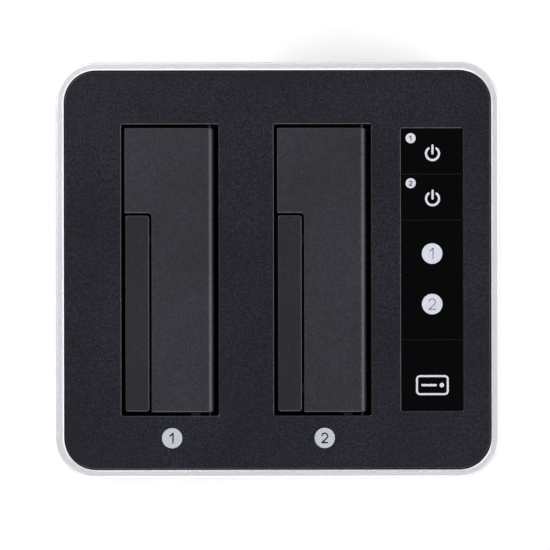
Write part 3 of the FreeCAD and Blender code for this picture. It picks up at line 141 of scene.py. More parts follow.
# ---------------------------------------------------------------------------------------------- main board
# Glass-epoxy board with green solder mask over copper tracks, screwed to the standoffs. The mask is a thin
# clear lacquer, so the tracks show as paler lines and the edges of pads glint.
def solder_mask(name, field, track, track_mm):
    """Green lacquer over copper: square-cornered tracks, plated holes and a glass weave below."""
    material, tree, shader, where = new_finish(name, IOR=1.5)
    cells = add(tree, "ShaderNodeTexVoronoi", {"Vector": where, "Scale": 1000 / (track_mm * 12)},
                feature="F1", distance="CHEBYCHEV")
    bands = add(tree, "ShaderNodeMath", {0: cells.outputs["Distance"], 1: 42.0}, operation="MULTIPLY")
    wave = add(tree, "ShaderNodeMath", {0: bands.outputs[0]}, operation="SINE")
    lines = add(tree, "ShaderNodeMapRange", {"Value": wave.outputs[0], "From Min": 0.35, "From Max": 0.55})
    dots = add(tree, "ShaderNodeTexVoronoi", {"Vector": where, "Scale": 1000 / 3.2, "Randomness": 0.7})
    holes = add(tree, "ShaderNodeMapRange", {"Value": dots.outputs["Distance"], "From Min": 0.10,
                                             "From Max": 0.13, "To Min": 1.0, "To Max": 0.0})
    tracks = add(tree, "ShaderNodeMix", {0: lines.outputs[0], 6: linear(field), 7: linear(track)},
                 data_type="RGBA")
    plated = add(tree, "ShaderNodeMix", {0: holes.outputs[0], 6: tracks.outputs[2], 7: linear("#a9a48f")},
                 data_type="RGBA")
    tree.links.new(plated.outputs[2], shader.inputs["Base Color"])
    weave = add(tree, "ShaderNodeTexNoise", {"Vector": where, "Scale": 1000 / 0.6, "Detail": 2.0})
    gloss = add(tree, "ShaderNodeMapRange", {"Value": weave.outputs["Fac"], "To Min": 0.22, "To Max": 0.42})
    tree.links.new(gloss.outputs[0], shader.inputs["Roughness"])
    bump = add(tree, "ShaderNodeBump", {"Height": lines.outputs[0], "Strength": 0.6, "Distance": 0.04 * MM})
    tree.links.new(bump.outputs[0], shader.inputs["Normal"])
    return material


board_mask = solder_mask("glass-epoxy board, green solder mask", "#0d3a24", "#1b5a38", 0.5)
dress(board_mask, "main_board", "control_board")


# ---------------------------------------------------------------------------------------------- board parts
# The bridge controller and regulators are black epoxy moulded round the silicon, with tinned copper leads
# soldered to the board. Inductors are pressed iron powder, and the capacitors are drawn aluminium cans.
def moulded_epoxy(name, dark, light, roughness):
    """Filled epoxy from a steel mould: a fine even matt with paler filler specks."""
    material, tree, shader, where = new_finish(name, IOR=1.55)
    filler = add(tree, "ShaderNodeTexNoise", {"Vector": where, "Scale": 1000 / 0.25, "Detail": 4.0})
    specks = add(tree, "ShaderNodeMapRange", {"Value": filler.outputs["Fac"], "From Min": 0.45,
                                              "From Max": 0.75})
    tone = add(tree, "ShaderNodeMix", {0: specks.outputs[0], 6: linear(dark), 7: linear(light)},
               data_type="RGBA")
    tree.links.new(tone.outputs[2], shader.inputs["Base Color"])
    matt = add(tree, "ShaderNodeMapRange", {"Value": filler.outputs["Fac"], "To Min": roughness - 0.1,
                                            "To Max": roughness + 0.1})
    tree.links.new(matt.outputs[0], shader.inputs["Roughness"])
    bump = add(tree, "ShaderNodeBump", {"Height": filler.outputs["Fac"], "Strength": 0.5,
                                        "Distance": 0.02 * MM})
    tree.links.new(bump.outputs[0], shader.inputs["Normal"])
    return material


def drawn_metal(name, pale, dull, roughness, grain):
    """Metal with lines left by its die or rollers, fewer to the metre along the way it was drawn."""
    material, tree, shader, where = new_finish(name, Metallic=1.0)
    turn = add(tree, "ShaderNodeMapping", {"Vector": where, "Scale": grain}, vector_type="POINT")
    lines = add(tree, "ShaderNodeTexNoise", {"Vector": turn.outputs[0], "Scale": 10.0, "Detail": 3.0})
    tone = add(tree, "ShaderNodeMix", {0: lines.outputs["Fac"], 6: linear(dull), 7: linear(pale)},
               data_type="RGBA")
    tree.links.new(tone.outputs[2], shader.inputs["Base Color"])
    polish = add(tree, "ShaderNodeMapRange", {"Value": lines.outputs["Fac"], "To Min": roughness - 0.1,
                                              "To Max": roughness + 0.12})
    tree.links.new(polish.outputs[0], shader.inputs["Roughness"])
    bump = add(tree, "ShaderNodeBump", {"Height": lines.outputs["Fac"], "Strength": 0.35,
                                        "Distance": 0.02 * MM})
    tree.links.new(bump.outputs[0], shader.inputs["Normal"])
    return material


def capacitor_can(name, sleeve_top):
    """Aluminium can in a shrunk black sleeve. The top is bare metal."""
    material, tree, shader, where = new_finish(name)
    axis = add(tree, "ShaderNodeSeparateXYZ", {0: where})
    bare = add(tree, "ShaderNodeMapRange", {"Value": axis.outputs["Z"], "From Min": sleeve_top - 0.02 * MM,
                                            "From Max": sleeve_top + 0.02 * MM})
    grain = add(tree, "ShaderNodeTexNoise", {"Vector": where, "Scale": 1000 / 0.8, "Detail": 3.0})
    sleeve = add(tree, "ShaderNodeMix", {0: grain.outputs["Fac"], 6: linear("#101116"),
                                         7: linear("#1c1e26")}, data_type="RGBA")
    metal = add(tree, "ShaderNodeMix", {0: grain.outputs["Fac"], 6: linear("#b9bbbf"),
                                        7: linear("#d6d8db")}, data_type="RGBA")
    tone = add(tree, "ShaderNodeMix", {0: bare.outputs[0], 6: sleeve.outputs[2], 7: metal.outputs[2]},
               data_type="RGBA")
    tree.links.new(tone.outputs[2], shader.inputs["Base Color"])
    tree.links.new(bare.outputs[0], shader.inputs["Metallic"])
    gloss = add(tree, "ShaderNodeMapRange", {"Value": grain.outputs["Fac"], "To Min": 0.25, "To Max": 0.45})
    tree.links.new(gloss.outputs[0], shader.inputs["Roughness"])
    return material


dress(moulded_epoxy("black epoxy chip body", "#0f0f11", "#1d1d20", 0.5), "controller_chips")
dress(moulded_epoxy("pressed iron powder", "#242427", "#3b3a3b", 0.6), "power_inductors")
dress(drawn_metal("black anodised aluminium, extruded", "#2b2b2e", "#18181a", 0.42, (60, 400, 400)),
      "heat_sink")
dress(moulded_epoxy("blue-grey silicone pad", "#6c7a88", "#8795a2", 0.8), "thermal_pad")
BARE_TOP = 0.7
can_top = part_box("power_capacitors")[1][2]
dress(capacitor_can("drawn aluminium can in a black sleeve", can_top - BARE_TOP * MM), "power_capacitors")


def tree_with_inputs(name, *inputs):
    """An empty geometry tree with named inputs, each given as (name, kind)."""
    tree = bpy.data.node_groups.new(name, "GeometryNodeTree")
    tree.interface.new_socket(name="Geometry", in_out="OUTPUT", socket_type="NodeSocketGeometry")
    tree.interface.new_socket(name="Geometry", in_out="INPUT", socket_type="NodeSocketGeometry")
    for label, kind in inputs:
        tree.interface.new_socket(name=label, in_out="INPUT", socket_type="NodeSocket" + kind)
    return tree, tree.nodes.new("NodeGroupInput").outputs


def close_tree(tree, geometry, material):
    """Ends a tree: instances become real mesh and take their material."""
    real = add(tree, "GeometryNodeRealizeInstances", {"Geometry": geometry})
    dressed = add(tree, "GeometryNodeSetMaterial", {"Geometry": real.outputs[0], "Material": material})
    add(tree, "NodeGroupOutput", {"Geometry": dressed.outputs[0]})


def grown(name, tree, body, values, base=None):
    """Runs a geometry tree on a mesh, keeps the result as a plain mesh and puts it on its body."""
    seed = bpy.data.objects.new(name + "_seed", base or bpy.data.meshes.new(name + "_seed"))
    bpy.context.collection.objects.link(seed)
    modifier = seed.modifiers.new("layout", "NODES")
    modifier.node_group = tree
    for item in tree.interface.items_tree:
        if item.in_out == "INPUT" and item.name in values:
            modifier[item.identifier] = values[item.name]
    evaluated = seed.evaluated_get(bpy.context.evaluated_depsgraph_get())
    mesh = bpy.data.meshes.new_from_object(evaluated)
    bpy.data.objects.remove(seed)
    return placed(name, mesh, body)


def placed(name, mesh, body, material=None):
    """Links a finished mesh as a piece that rides on a body."""
    mesh.name = name
    if material:
        mesh.materials.clear()
        mesh.materials.append(material)
    piece = bpy.data.objects.new(name, mesh)
    bpy.context.collection.objects.link(piece)
    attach(piece, body)
    return piece


def row_tree():
    """A row of equal blocks: pins, pads or leads."""
    tree, inputs = tree_with_inputs("row of leads", ("Count", "Int"), ("Start", "Vector"),
                                    ("Step", "Vector"), ("Size", "Vector"), ("Material", "Material"))
    line = add(tree, "GeometryNodeMeshLine", {"Count": inputs["Count"], "Start Location": inputs["Start"],
                                              "Offset": inputs["Step"]})
    lead = add(tree, "GeometryNodeMeshCube", {"Size": inputs["Size"]})
    copies = add(tree, "GeometryNodeInstanceOnPoints", {"Points": line.outputs[0],
                                                        "Instance": lead.outputs[0]})
    close_tree(tree, copies.outputs[0], inputs["Material"])
    return tree


leads = row_tree()
tin = drawn_metal("tinned copper", "#d9d9d6", "#a8a8a4", 0.35, (300, 300, 300))


def lead_row(name, body, count, start_mm, step_mm, size_mm, material=tin):
    """One row of leads, its places given in millimetres."""
    return grown(name, leads, body, {"Count": count, "Start": [v * MM for v in start_mm],
                                     "Step": [v * MM for v in step_mm], "Size": [v * MM for v in size_mm],
                                     "Material": material})


board_low, board_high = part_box("main_board")
board_top = board_high[2] / MM
CHIP_LEADS = 24
CHIP_LEAD_PITCH = 0.5
CHIP_HALF = 7.0
LEAD_MIDDLE = 0.45
LEAD_HEIGHT = 0.12
LEAD_SIZE = (0.9, 0.22, 0.2)
sink_low, sink_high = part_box("heat_sink")
chip_x, chip_y = ((sink_low[i] + sink_high[i]) / 2 / MM for i in (0, 1))
half_row = (CHIP_LEADS - 1) * CHIP_LEAD_PITCH / 2
long, wide, thick = LEAD_SIZE
for side, label in ((-1, "left"), (1, "right")):
    lead_row(f"controller_leads_{label}", "housing", CHIP_LEADS,
             (chip_x + side * (CHIP_HALF + LEAD_MIDDLE), chip_y - half_row, board_top + LEAD_HEIGHT),
             (0, CHIP_LEAD_PITCH, 0), (long, wide, thick))
for side, label in ((-1, "front"), (1, "back")):
    lead_row(f"controller_leads_{label}", "housing", CHIP_LEADS,
             (chip_x - half_row, chip_y + side * (CHIP_HALF + LEAD_MIDDLE), board_top + LEAD_HEIGHT),
             (CHIP_LEAD_PITCH, 0, 0), (wide, long, thick))


def small_parts_tree():
    """Chip resistors and capacitors: boxes on a loose grid, some left out, each turned one of two ways."""
    tree, inputs = tree_with_inputs("small board parts", ("Width", "Float"), ("Depth", "Float"),
                                    ("Columns", "Int"), ("Rows", "Int"), ("Place", "Vector"),
                                    ("Part size", "Vector"), ("Share left out", "Float"), ("Seed", "Int"),
                                    ("Material", "Material"))
    grid = add(tree, "GeometryNodeMeshGrid", {"Size X": inputs["Width"], "Size Y": inputs["Depth"],
                                              "Vertices X": inputs["Columns"],
                                              "Vertices Y": inputs["Rows"]})
    missing = add(tree, "FunctionNodeRandomValue", {"Probability": inputs["Share left out"],
                                                    "Seed": inputs["Seed"]}, data_type="BOOLEAN")
    kept = add(tree, "GeometryNodeDeleteGeometry", {"Geometry": grid.outputs[0],
                                                    "Selection": missing.outputs[3]})
    turn = add(tree, "FunctionNodeRandomValue", {"Seed": inputs["Seed"]}, data_type="INT")
    for socket in turn.inputs:
        if socket.type == "INT" and socket.name in ("Min", "Max"):
            socket.default_value = 0 if socket.name == "Min" else 1
    quarter = add(tree, "ShaderNodeMath", {0: turn.outputs[2], 1: math.pi / 2}, operation="MULTIPLY")
    angle = add(tree, "ShaderNodeCombineXYZ", {"Z": quarter.outputs[0]})
    part = add(tree, "GeometryNodeMeshCube", {"Size": inputs["Part size"]})
    copies = add(tree, "GeometryNodeInstanceOnPoints", {"Points": kept.outputs[0],
                                                        "Instance": part.outputs[0],
                                                        "Rotation": angle.outputs[0]})
    moved = add(tree, "GeometryNodeTransform", {"Geometry": copies.outputs[0],
                                                "Translation": inputs["Place"]})
    close_tree(tree, moved.outputs[0], inputs["Material"])
    return tree


small_parts = small_parts_tree()
ceramic = moulded_epoxy("fired ceramic, tan", "#7a6348", "#94795a", 0.45)
resistor_black = moulded_epoxy("lacquered chip resistor", "#101012", "#26262a", 0.35)
fields = (("small_parts_front", (49.0, -37.5), (18.0, 8.0), (9, 5), (1.6, 0.8, 0.6), ceramic, 3),
          ("small_parts_middle", (50.0, 20.4), (17.0, 3.0), (9, 2), (1.0, 0.5, 0.4), resistor_black, 5),
          ("small_parts_back", (50.0, 57.4), (12.0, 2.4), (7, 2), (1.6, 0.8, 0.6), ceramic, 8))
LEFT_OUT = 0.25
for name, (x, y), (width, depth), (columns, rows), size, material, seed in fields:
    grown(name, small_parts, "housing",
          {"Width": width * MM, "Depth": depth * MM, "Columns": columns, "Rows": rows,
           "Place": [x * MM, y * MM, (board_top + size[2] / 2) * MM], "Part size": [v * MM for v in size],
           "Share left out": LEFT_OUT, "Seed": seed, "Material": material})

# ---------------------------------------------------------------------------------------------- drive sockets
# Upright 22-way sockets of heat-proof black polymer with gold-flashed contacts. They take the drive's edge
# connector when it is pushed down on end. Their tails are soldered through the board.
socket_polymer = moulded_epoxy("black connector polymer", "#0b0b0c", "#151516", 0.42)
gold = drawn_metal("gold flash over nickel", "#f2cf7c", "#d3a850", 0.25, (200, 200, 900))
dress(socket_polymer, "drive_socket_1", "drive_socket_2", "ribbon_connectors", "usb_tongue")
dress(gold, "socket_contacts_1", "socket_contacts_2")


def solder_tree():
    """A row of solder joints: low domes under the board."""
    tree, inputs = tree_with_inputs("solder joints", ("Count", "Int"), ("Start", "Vector"),
                                    ("Step", "Vector"), ("Radius", "Float"), ("Flatness", "Vector"),
                                    ("Material", "Material"))
    line = add(tree, "GeometryNodeMeshLine", {"Count": inputs["Count"], "Start Location": inputs["Start"],
                                              "Offset": inputs["Step"]})
    dome = add(tree, "GeometryNodeMeshUVSphere", {"Segments": 12, "Rings": 6, "Radius": inputs["Radius"]})
    copies = add(tree, "GeometryNodeInstanceOnPoints", {"Points": line.outputs[0],
                                                        "Instance": dome.outputs[0],
                                                        "Scale": inputs["Flatness"]})
    close_tree(tree, copies.outputs[0], inputs["Material"])
    return tree


joints_tree = solder_tree()
solder = drawn_metal("tin solder", "#d4d6d8", "#a9abae", 0.25, (500, 500, 500))
TAIL_PITCH = 1.27
TAILS = 30
TAIL_ROW = 1.3
DOME_RADIUS = 0.5
DOME_FLATNESS = [1, 1, 0.9]
for bay in (1, 2):
    low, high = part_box(f"drive_socket_{bay}")
    centre_x, centre_y = (low[0] + high[0]) / 2, (low[1] + high[1]) / 2
    for side, label in ((-1, "left"), (1, "right")):
        grown(f"socket_solder_{bay}_{label}", joints_tree, "housing",
              {"Count": TAILS, "Start": [centre_x + side * TAIL_ROW * MM,
                                         centre_y - (TAILS - 1) * TAIL_PITCH / 2 * MM, board_low[2]],
               "Step": [0, TAIL_PITCH * MM, 0], "Radius": DOME_RADIUS * MM, "Flatness": DOME_FLATNESS,
               "Material": solder})

# ---------------------------------------------------------------------------------------------- drive wells
# Moulded black ABS wells that guide a drive to its socket. They hang from the panel on four screws each.
well_abs = moulded_abs("black ABS, matt mould", "#0c0c0e", "#141417", 0.5, 0.03, 0.6)
dress(well_abs, "bay_well_1", "bay_well_2", "control_frame")


# ---------------------------------------------------------------------------------------------- top panel
# One moulding in charcoal ABS. Its spark-eroded skin scatters light in fine specks, a little
# bluish, and its edges round the openings are softened, so they show as thin pale lines.
panel_abs = moulded_abs("charcoal ABS, spark-eroded mould", "#030306", "#282933", 0.75, 0.06, 0.31)
dress(panel_abs, "top_panel")

# ---------------------------------------------------------------------------------------------- doors
# Sprung doors in the same ABS from a finer mould, a shade paler than the panel. The long edge that rolls
# round the hinge pin catches the light. Pins are blackened steel, springs phosphated wire.
door_abs = moulded_abs("charcoal ABS, fine-grained mould", "#101115", "#30313a", 0.6, 0.04, 0.39)
small_door_abs = moulded_abs("charcoal ABS, second fine-grained mould", "#090a0f", "#27282f", 0.6, 0.04,
                             0.38)
dress(door_abs, "bay_door_1", "bay_door_2")
dress(small_door_abs, "small_door_1", "small_door_2")
dress(drawn_metal("blackened steel pin", "#3c3c40", "#222224", 0.3, (900, 60, 900)),
      "door_pin_1", "door_pin_2", "small_door_pin_1", "small_door_pin_2")
spring_wire = drawn_metal("phosphated spring wire", "#3f3f42", "#28282a", 0.3, (700, 700, 700))
dress(spring_wire, "small_door_spring_1", "small_door_spring_2")


# ---------------------------------------------------------------------------------------------- door springs
# Torsion springs round the full-size doors' pins. The long leg lifts the door, the short one bears on the
# panel's collar, and the coil lies between them. The spring is drawn once in its rest shape; it does not turn
# or wind up when the door opens.
def wire_mesh(points, radius):
    """A round wire through the points."""
    line = bpy.data.curves.new("wire", "CURVE")
    line.dimensions = "3D"
    line.bevel_depth = radius
    line.bevel_resolution = 3
    line.use_fill_caps = True
    spline = line.splines.new("POLY")
    spline.points.add(len(points) - 1)
    for knot, point in zip(spline.points, points):
        knot.co = (*point, 1.0)
    holder = bpy.data.objects.new("wire", line)
    bpy.context.collection.objects.link(holder)
    mesh = bpy.data.meshes.new_from_object(holder.evaluated_get(bpy.context.evaluated_depsgraph_get()))
    bpy.data.objects.remove(holder)
    return mesh


COIL_RADIUS = 1.0
WIRE_RADIUS = 0.2
COIL_PITCH = 0.8
COIL_SWEEP = 1780
COIL_ANGLE = 270
COIL_START = 2.9
LIFTING_LEG = 8.5
COLLAR_LEG = 3.66
COIL_STEPS = 150
for bay in (1, 2):
    low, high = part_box(f"door_pin_{bay}")
    axis_x, axis_z = (low[0] + high[0]) / 2, (low[2] + high[2]) / 2
    coil = []
    for i in range(COIL_STEPS + 1):
        turned = COIL_SWEEP * i / COIL_STEPS
        angle = math.radians(COIL_ANGLE + turned)
        coil.append(Vector((axis_x + COIL_RADIUS * MM * math.cos(angle),
                            (COIL_START - COIL_PITCH * turned / 360) * MM,
                            axis_z + COIL_RADIUS * MM * math.sin(angle))))
    first, last = (coil[1] - coil[0]).normalized(), (coil[-1] - coil[-2]).normalized()
    path = [coil[0] - first * LIFTING_LEG * MM] + coil + [coil[-1] + last * COLLAR_LEG * MM]
    spring = bpy.data.objects.new(f"door_spring_wound_{bay}", wire_mesh(path, WIRE_RADIUS * MM))
    spring.data.materials.append(spring_wire)
    bpy.context.collection.objects.link(spring)
    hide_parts(f"door_spring_{bay}")
    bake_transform(spring)


# ---------------------------------------------------------------------------------------------- bay numbers
# Round badges pad-printed in pale ink on the panel, in front of each bay, with the number left dark.
def screen_ink(name, pale, dark, roughness=0.45):
    """Printed ink: a thin flat layer with pinholes and a slightly uneven tone."""
    material, tree, shader, where = new_finish(name, IOR=1.48)
    spots = add(tree, "ShaderNodeTexNoise", {"Vector": where, "Scale": 1000 / 0.35, "Detail": 3.0})
    reach = add(tree, "ShaderNodeMapRange", {"Value": spots.outputs["Fac"], "From Min": 0.3,
                                             "From Max": 0.65})
    tone = add(tree, "ShaderNodeMix", {0: reach.outputs[0], 6: linear(dark), 7: linear(pale)},
               data_type="RGBA")
    tree.links.new(tone.outputs[2], shader.inputs["Base Color"])
    sheen = add(tree, "ShaderNodeMapRange", {"Value": spots.outputs["Fac"], "To Min": roughness - 0.08,
                                             "To Max": roughness + 0.08})
    tree.links.new(sheen.outputs[0], shader.inputs["Roughness"])
    return material


badge_ink = screen_ink("pale pad-printed ink", "#b5b7bf", "#a3a5ae")
dark_ink = screen_ink("black pad-printed ink", "#141419", "#0c0c10")
INK = 0.03
INK_ROOT = 0.01


def raised(outlines, low, high):
    """A mesh from flat outlines, each a list of (x, y) in metres, given thickness from low to high."""
    shape = bmesh.new()
    for outline in outlines:
        shape.faces.new([shape.verts.new((x, y, low)) for x, y in outline])
    bmesh.ops.remove_doubles(shape, verts=shape.verts, dist=1e-7)
    top = bmesh.ops.extrude_face_region(shape, geom=shape.faces[:])["geom"]
    lifted = [v for v in top if isinstance(v, bmesh.types.BMVert)]
    bmesh.ops.translate(shape, vec=(0, 0, high - low), verts=lifted)
    bmesh.ops.recalc_face_normals(shape, faces=shape.faces)
    mesh = bpy.data.meshes.new("raised")
    shape.to_mesh(mesh)
    shape.free()
    return mesh


def round_outline(x, y, radius, count=72):
    """Points round a circle."""
    return [(x + radius * math.cos(2 * math.pi * i / count), y + radius * math.sin(2 * math.pi * i / count))
            for i in range(count)]


def stroke(points, width):
    """Outlines of a line of the given width with round ends, along points: quads and two end caps."""
    half = width / 2
    sides = []
    for i, (x, y) in enumerate(points):
        before, after = points[max(i - 1, 0)], points[min(i + 1, len(points) - 1)]
        along = Vector((after[0] - before[0], after[1] - before[1])).normalized()
        sides.append(((x - along.y * half, y + along.x * half), (x + along.y * half, y - along.x * half)))
    faces = [[b[0], b[1], a[1], a[0]] for a, b in zip(sides, sides[1:])]
    for (x, y), (edge, _), way in ((points[0], sides[0], 1), (points[-1], sides[-1], -1)):
        start = math.atan2(edge[1] - y, edge[0] - x)
        faces.append([(x + half * math.cos(start + way * math.pi * i / 12),
                       y + half * math.sin(start + way * math.pi * i / 12)) for i in range(13)][::way])
    return faces


def numeral(number, x, y, height, width, low, high):
    """The number 1 or 2 drawn with one even line, its middle at x, y."""
    half, reach = (height - width) / 2, (height - width) * 0.3
    if number == 1:
        head, foot = (reach * 0.3, half), (reach * 0.3, -half)
        paths = [[(-reach * 0.75, half - reach * 0.9), head], [head, foot]]
    else:
        turns = [math.radians(165 - 205 * i / 16) for i in range(17)]
        bow = [(reach * math.cos(a), half - reach + reach * math.sin(a)) for a in turns]
        paths = [bow + [(-reach, -half)], [(-reach, -half), (reach, -half)]]
    lines = []
    for path in paths:
        lines += stroke([(x + px, y + py) for px, py in path], width)
    return raised(lines, low, high)


panel_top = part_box("top_panel")[1][2]
BAY_BADGE_RADIUS = 3.65
BAY_BADGE_Y = -60.55
BAY_BADGE_SHIFT = 0.7
BAY_FIGURE_HEIGHT = 3.9
BAY_FIGURE_LINE = 0.5
for bay in (1, 2):
    low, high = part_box(f"bay_well_{bay}")
    x = (low[0] + high[0]) / 2 + BAY_BADGE_SHIFT * MM
    y = BAY_BADGE_Y * MM
    disc = raised([round_outline(x, y, BAY_BADGE_RADIUS * MM)], panel_top - INK_ROOT * MM,
                  panel_top + INK * MM)
    placed(f"bay_badge_{bay}", disc, "housing", badge_ink)
    figure = numeral(bay, x, y, BAY_FIGURE_HEIGHT * MM, BAY_FIGURE_LINE * MM, panel_top + INK * MM,
                     panel_top + 2 * INK * MM)
    placed(f"bay_badge_figure_{bay}", figure, "housing", dark_ink)


# ---------------------------------------------------------------------------------------------- power buttons
# Two keys in polished black ABS. Each carries a printed power sign and a small numbered badge,
# and stands on a push switch through its stem.
def polished_black(name):
    """Polished black plastic: near-black, with hairline rubs that only show in a reflection."""
    material, tree, shader, where = new_finish(name, IOR=1.49)
    rubs = add(tree, "ShaderNodeTexNoise", {"Vector": where, "Scale": 1000 / 6, "Detail": 5.0,
                                            "Distortion": 0.6})
    dust = add(tree, "ShaderNodeTexNoise", {"Vector": where, "Scale": 1000 / 0.4, "Detail": 2.0})
    tone = add(tree, "ShaderNodeMix", {0: dust.outputs["Fac"], 6: linear("#040405"), 7: linear("#09090b")},
               data_type="RGBA")
    tree.links.new(tone.outputs[2], shader.inputs["Base Color"])
    haze = add(tree, "ShaderNodeMapRange", {"Value": rubs.outputs["Fac"], "From Min": 0.35, "From Max": 0.7,
                                            "To Min": 0.05, "To Max": 0.12})
    tree.links.new(haze.outputs[0], shader.inputs["Roughness"])
    return material


gloss_black = polished_black("black ABS, polished mould")
dress(gloss_black, "power_button_1", "power_button_2", "indicator_window", "trim_plate")
white_ink = screen_ink("white pad-printed ink", "#cccdd2", "#bfc0c6", 0.4)
pale_ink = screen_ink("pale grey pad-printed ink", "#c8c9d4", "#babbc6", 0.4)
grey_ink = screen_ink("grey pad-printed ink", "#3f4149", "#37383f")
SIGN_PLACES = {1: (55.88, 41.84), 2: (55.88, 25.57)}
SIGN_RING = 2.33
SIGN_LINE = 0.8
SIGN_GAP = 38
SIGN_BAR = (0.05, 2.9)
SMALL_BADGE_PLACES = {1: (48.01, 47.4), 2: (48.01, 31.18)}
SMALL_BADGE_RADIUS = 1.82
SMALL_FIGURE_HEIGHT = 1.9
SMALL_FIGURE_LINE = 0.34
button_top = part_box("power_button_1")[1][2]
for button in (1, 2):
    x, y = (v * MM for v in SIGN_PLACES[button])
    turns = [math.radians(90 + SIGN_GAP + (360 - 2 * SIGN_GAP) * i / 40) for i in range(41)]
    ring = [(x + SIGN_RING * MM * math.cos(a), y + SIGN_RING * MM * math.sin(a)) for a in turns]
    bar = [(x, y + SIGN_BAR[0] * MM), (x, y + SIGN_BAR[1] * MM)]
    lines = stroke(ring, SIGN_LINE * MM) + stroke(bar, SIGN_LINE * MM)
    sign = raised(lines, button_top - INK_ROOT * MM, button_top + INK * MM)
    placed(f"power_sign_{button}", sign, f"button_{button}", white_ink)
    badge_x, badge_y = (v * MM for v in SMALL_BADGE_PLACES[button])
    disc = raised([round_outline(badge_x, badge_y, SMALL_BADGE_RADIUS * MM, 48)],
                  button_top - INK_ROOT * MM, button_top + INK * MM)
    placed(f"button_badge_{button}", disc, f"button_{button}", pale_ink)
    figure = numeral(button, badge_x, badge_y, SMALL_FIGURE_HEIGHT * MM, SMALL_FIGURE_LINE * MM,
                     button_top + INK * MM, button_top + 2 * INK * MM)
    placed(f"button_badge_figure_{button}", figure, f"button_{button}", grey_ink)

# ---------------------------------------------------------------------------------------------- switches
# Push switches, their plungers, and the lamps, soldered to the control board under the strip.
dress(moulded_epoxy("black switch nylon", "#17171a", "#232327", 0.45), "tact_switches")
dress(moulded_epoxy("red switch plunger", "#7d1d18", "#963027", 0.4), "tact_plunger_1", "tact_plunger_2")
dress(moulded_epoxy("yellow lamp resin", "#d8d0a2", "#eee9c8", 0.3), "indicator_leds")


# ---------------------------------------------------------------------------------------------- bay indicators
# Milky polycarbonate guides that carry the lamps' light to the strip. The number is printed in faint grey.
def milky_guide(name):
    """Milky polycarbonate: light goes a little way in, and tiny filler grains show as a mottle."""
    material, tree, shader, where = new_finish(name, IOR=1.58)
    shader.inputs["Subsurface Weight"].default_value = 0.15
    shader.inputs["Subsurface Radius"].default_value = (0.8 * MM, 0.8 * MM, 0.9 * MM)
    mottle = add(tree, "ShaderNodeTexNoise", {"Vector": where, "Scale": 1000 / 0.7, "Detail": 3.0})
    tone = add(tree, "ShaderNodeMix", {0: mottle.outputs["Fac"], 6: linear("#bdc0ca"),
                                       7: linear("#cccfd9")}, data_type="RGBA")
    tree.links.new(tone.outputs[2], shader.inputs["Base Color"])
    gloss = add(tree, "ShaderNodeMapRange", {"Value": mottle.outputs["Fac"], "To Min": 0.2, "To Max": 0.35})
    tree.links.new(gloss.outputs[0], shader.inputs["Roughness"])
    return material


dress(milky_guide("milky polycarbonate"), "light_pipe_1", "light_pipe_2")
faint_ink = screen_ink("faint grey ink", "#868a96", "#7c808c")
GUIDE_FIGURE_HEIGHT = 4.2
GUIDE_FIGURE_LINE = 0.44
for bay in (1, 2):
    low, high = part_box(f"light_pipe_{bay}")
    figure = numeral(bay, (low[0] + high[0]) / 2, (low[1] + high[1]) / 2, GUIDE_FIGURE_HEIGHT * MM,
                     GUIDE_FIGURE_LINE * MM, high[2] - INK_ROOT * MM, high[2] + INK * MM)
    placed(f"indicator_figure_{bay}", figure, "housing", faint_ink)

# ---------------------------------------------------------------------------------------------- trim plate
# Blank polished plate at the front of the strip. It carries a plain drive pictogram: a rounded case
# outline, a bar and a small lamp.
PICTOGRAM_Y = -41.6
CASE_INSIDE = (10.4, 5.8, 0.8)
CASE_OUTSIDE = (11.8, 7.2, 1.5)
BAR_ENDS = (-3.6, 1.2)
BAR_LINE = 0.8
LAMP_X = 3.4
LAMP_RADIUS = 0.8
trim_low, trim_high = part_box("trim_plate")
trim_x, trim_y, trim_top = (trim_low[0] + trim_high[0]) / 2, PICTOGRAM_Y * MM, trim_high[2]


def closed_band(inner, outer):
    """Quads between two loops with the same number of points."""
    count = len(inner)
    return [[outer[i], outer[(i + 1) % count], inner[(i + 1) % count], inner[i]] for i in range(count)]


def soft_rectangle(x, y, width, height, radius):
    """Points round a rectangle with round corners."""
    points, steps = [], 8
    for quarter, (sx, sy) in enumerate(((1, -1), (1, 1), (-1, 1), (-1, -1))):
        cx, cy = x + sx * (width / 2 - radius), y + sy * (height / 2 - radius)
        for i in range(steps + 1):
            angle = math.radians(90 * quarter - 90 + 90 * i / steps)
            points.append((cx + radius * math.cos(angle), cy + radius * math.sin(angle)))
    return points


case = closed_band(soft_rectangle(trim_x, trim_y, *(v * MM for v in CASE_INSIDE)),
                   soft_rectangle(trim_x, trim_y, *(v * MM for v in CASE_OUTSIDE)))
bar = stroke([(trim_x + end * MM, trim_y) for end in BAR_ENDS], BAR_LINE * MM)
lamp = [round_outline(trim_x + LAMP_X * MM, trim_y, LAMP_RADIUS * MM, 32)]
pictogram = raised(case + bar + lamp, trim_top - INK_ROOT * MM, trim_top + INK * MM)
placed("drive_pictogram", pictogram, "housing", white_ink)


# ---------------------------------------------------------------------------------------------- ribbon
# Flat polyester ribbon with tinned conductors between the two boards, clamped in a connector at each end.
RIBBON_PITCH = 0.9


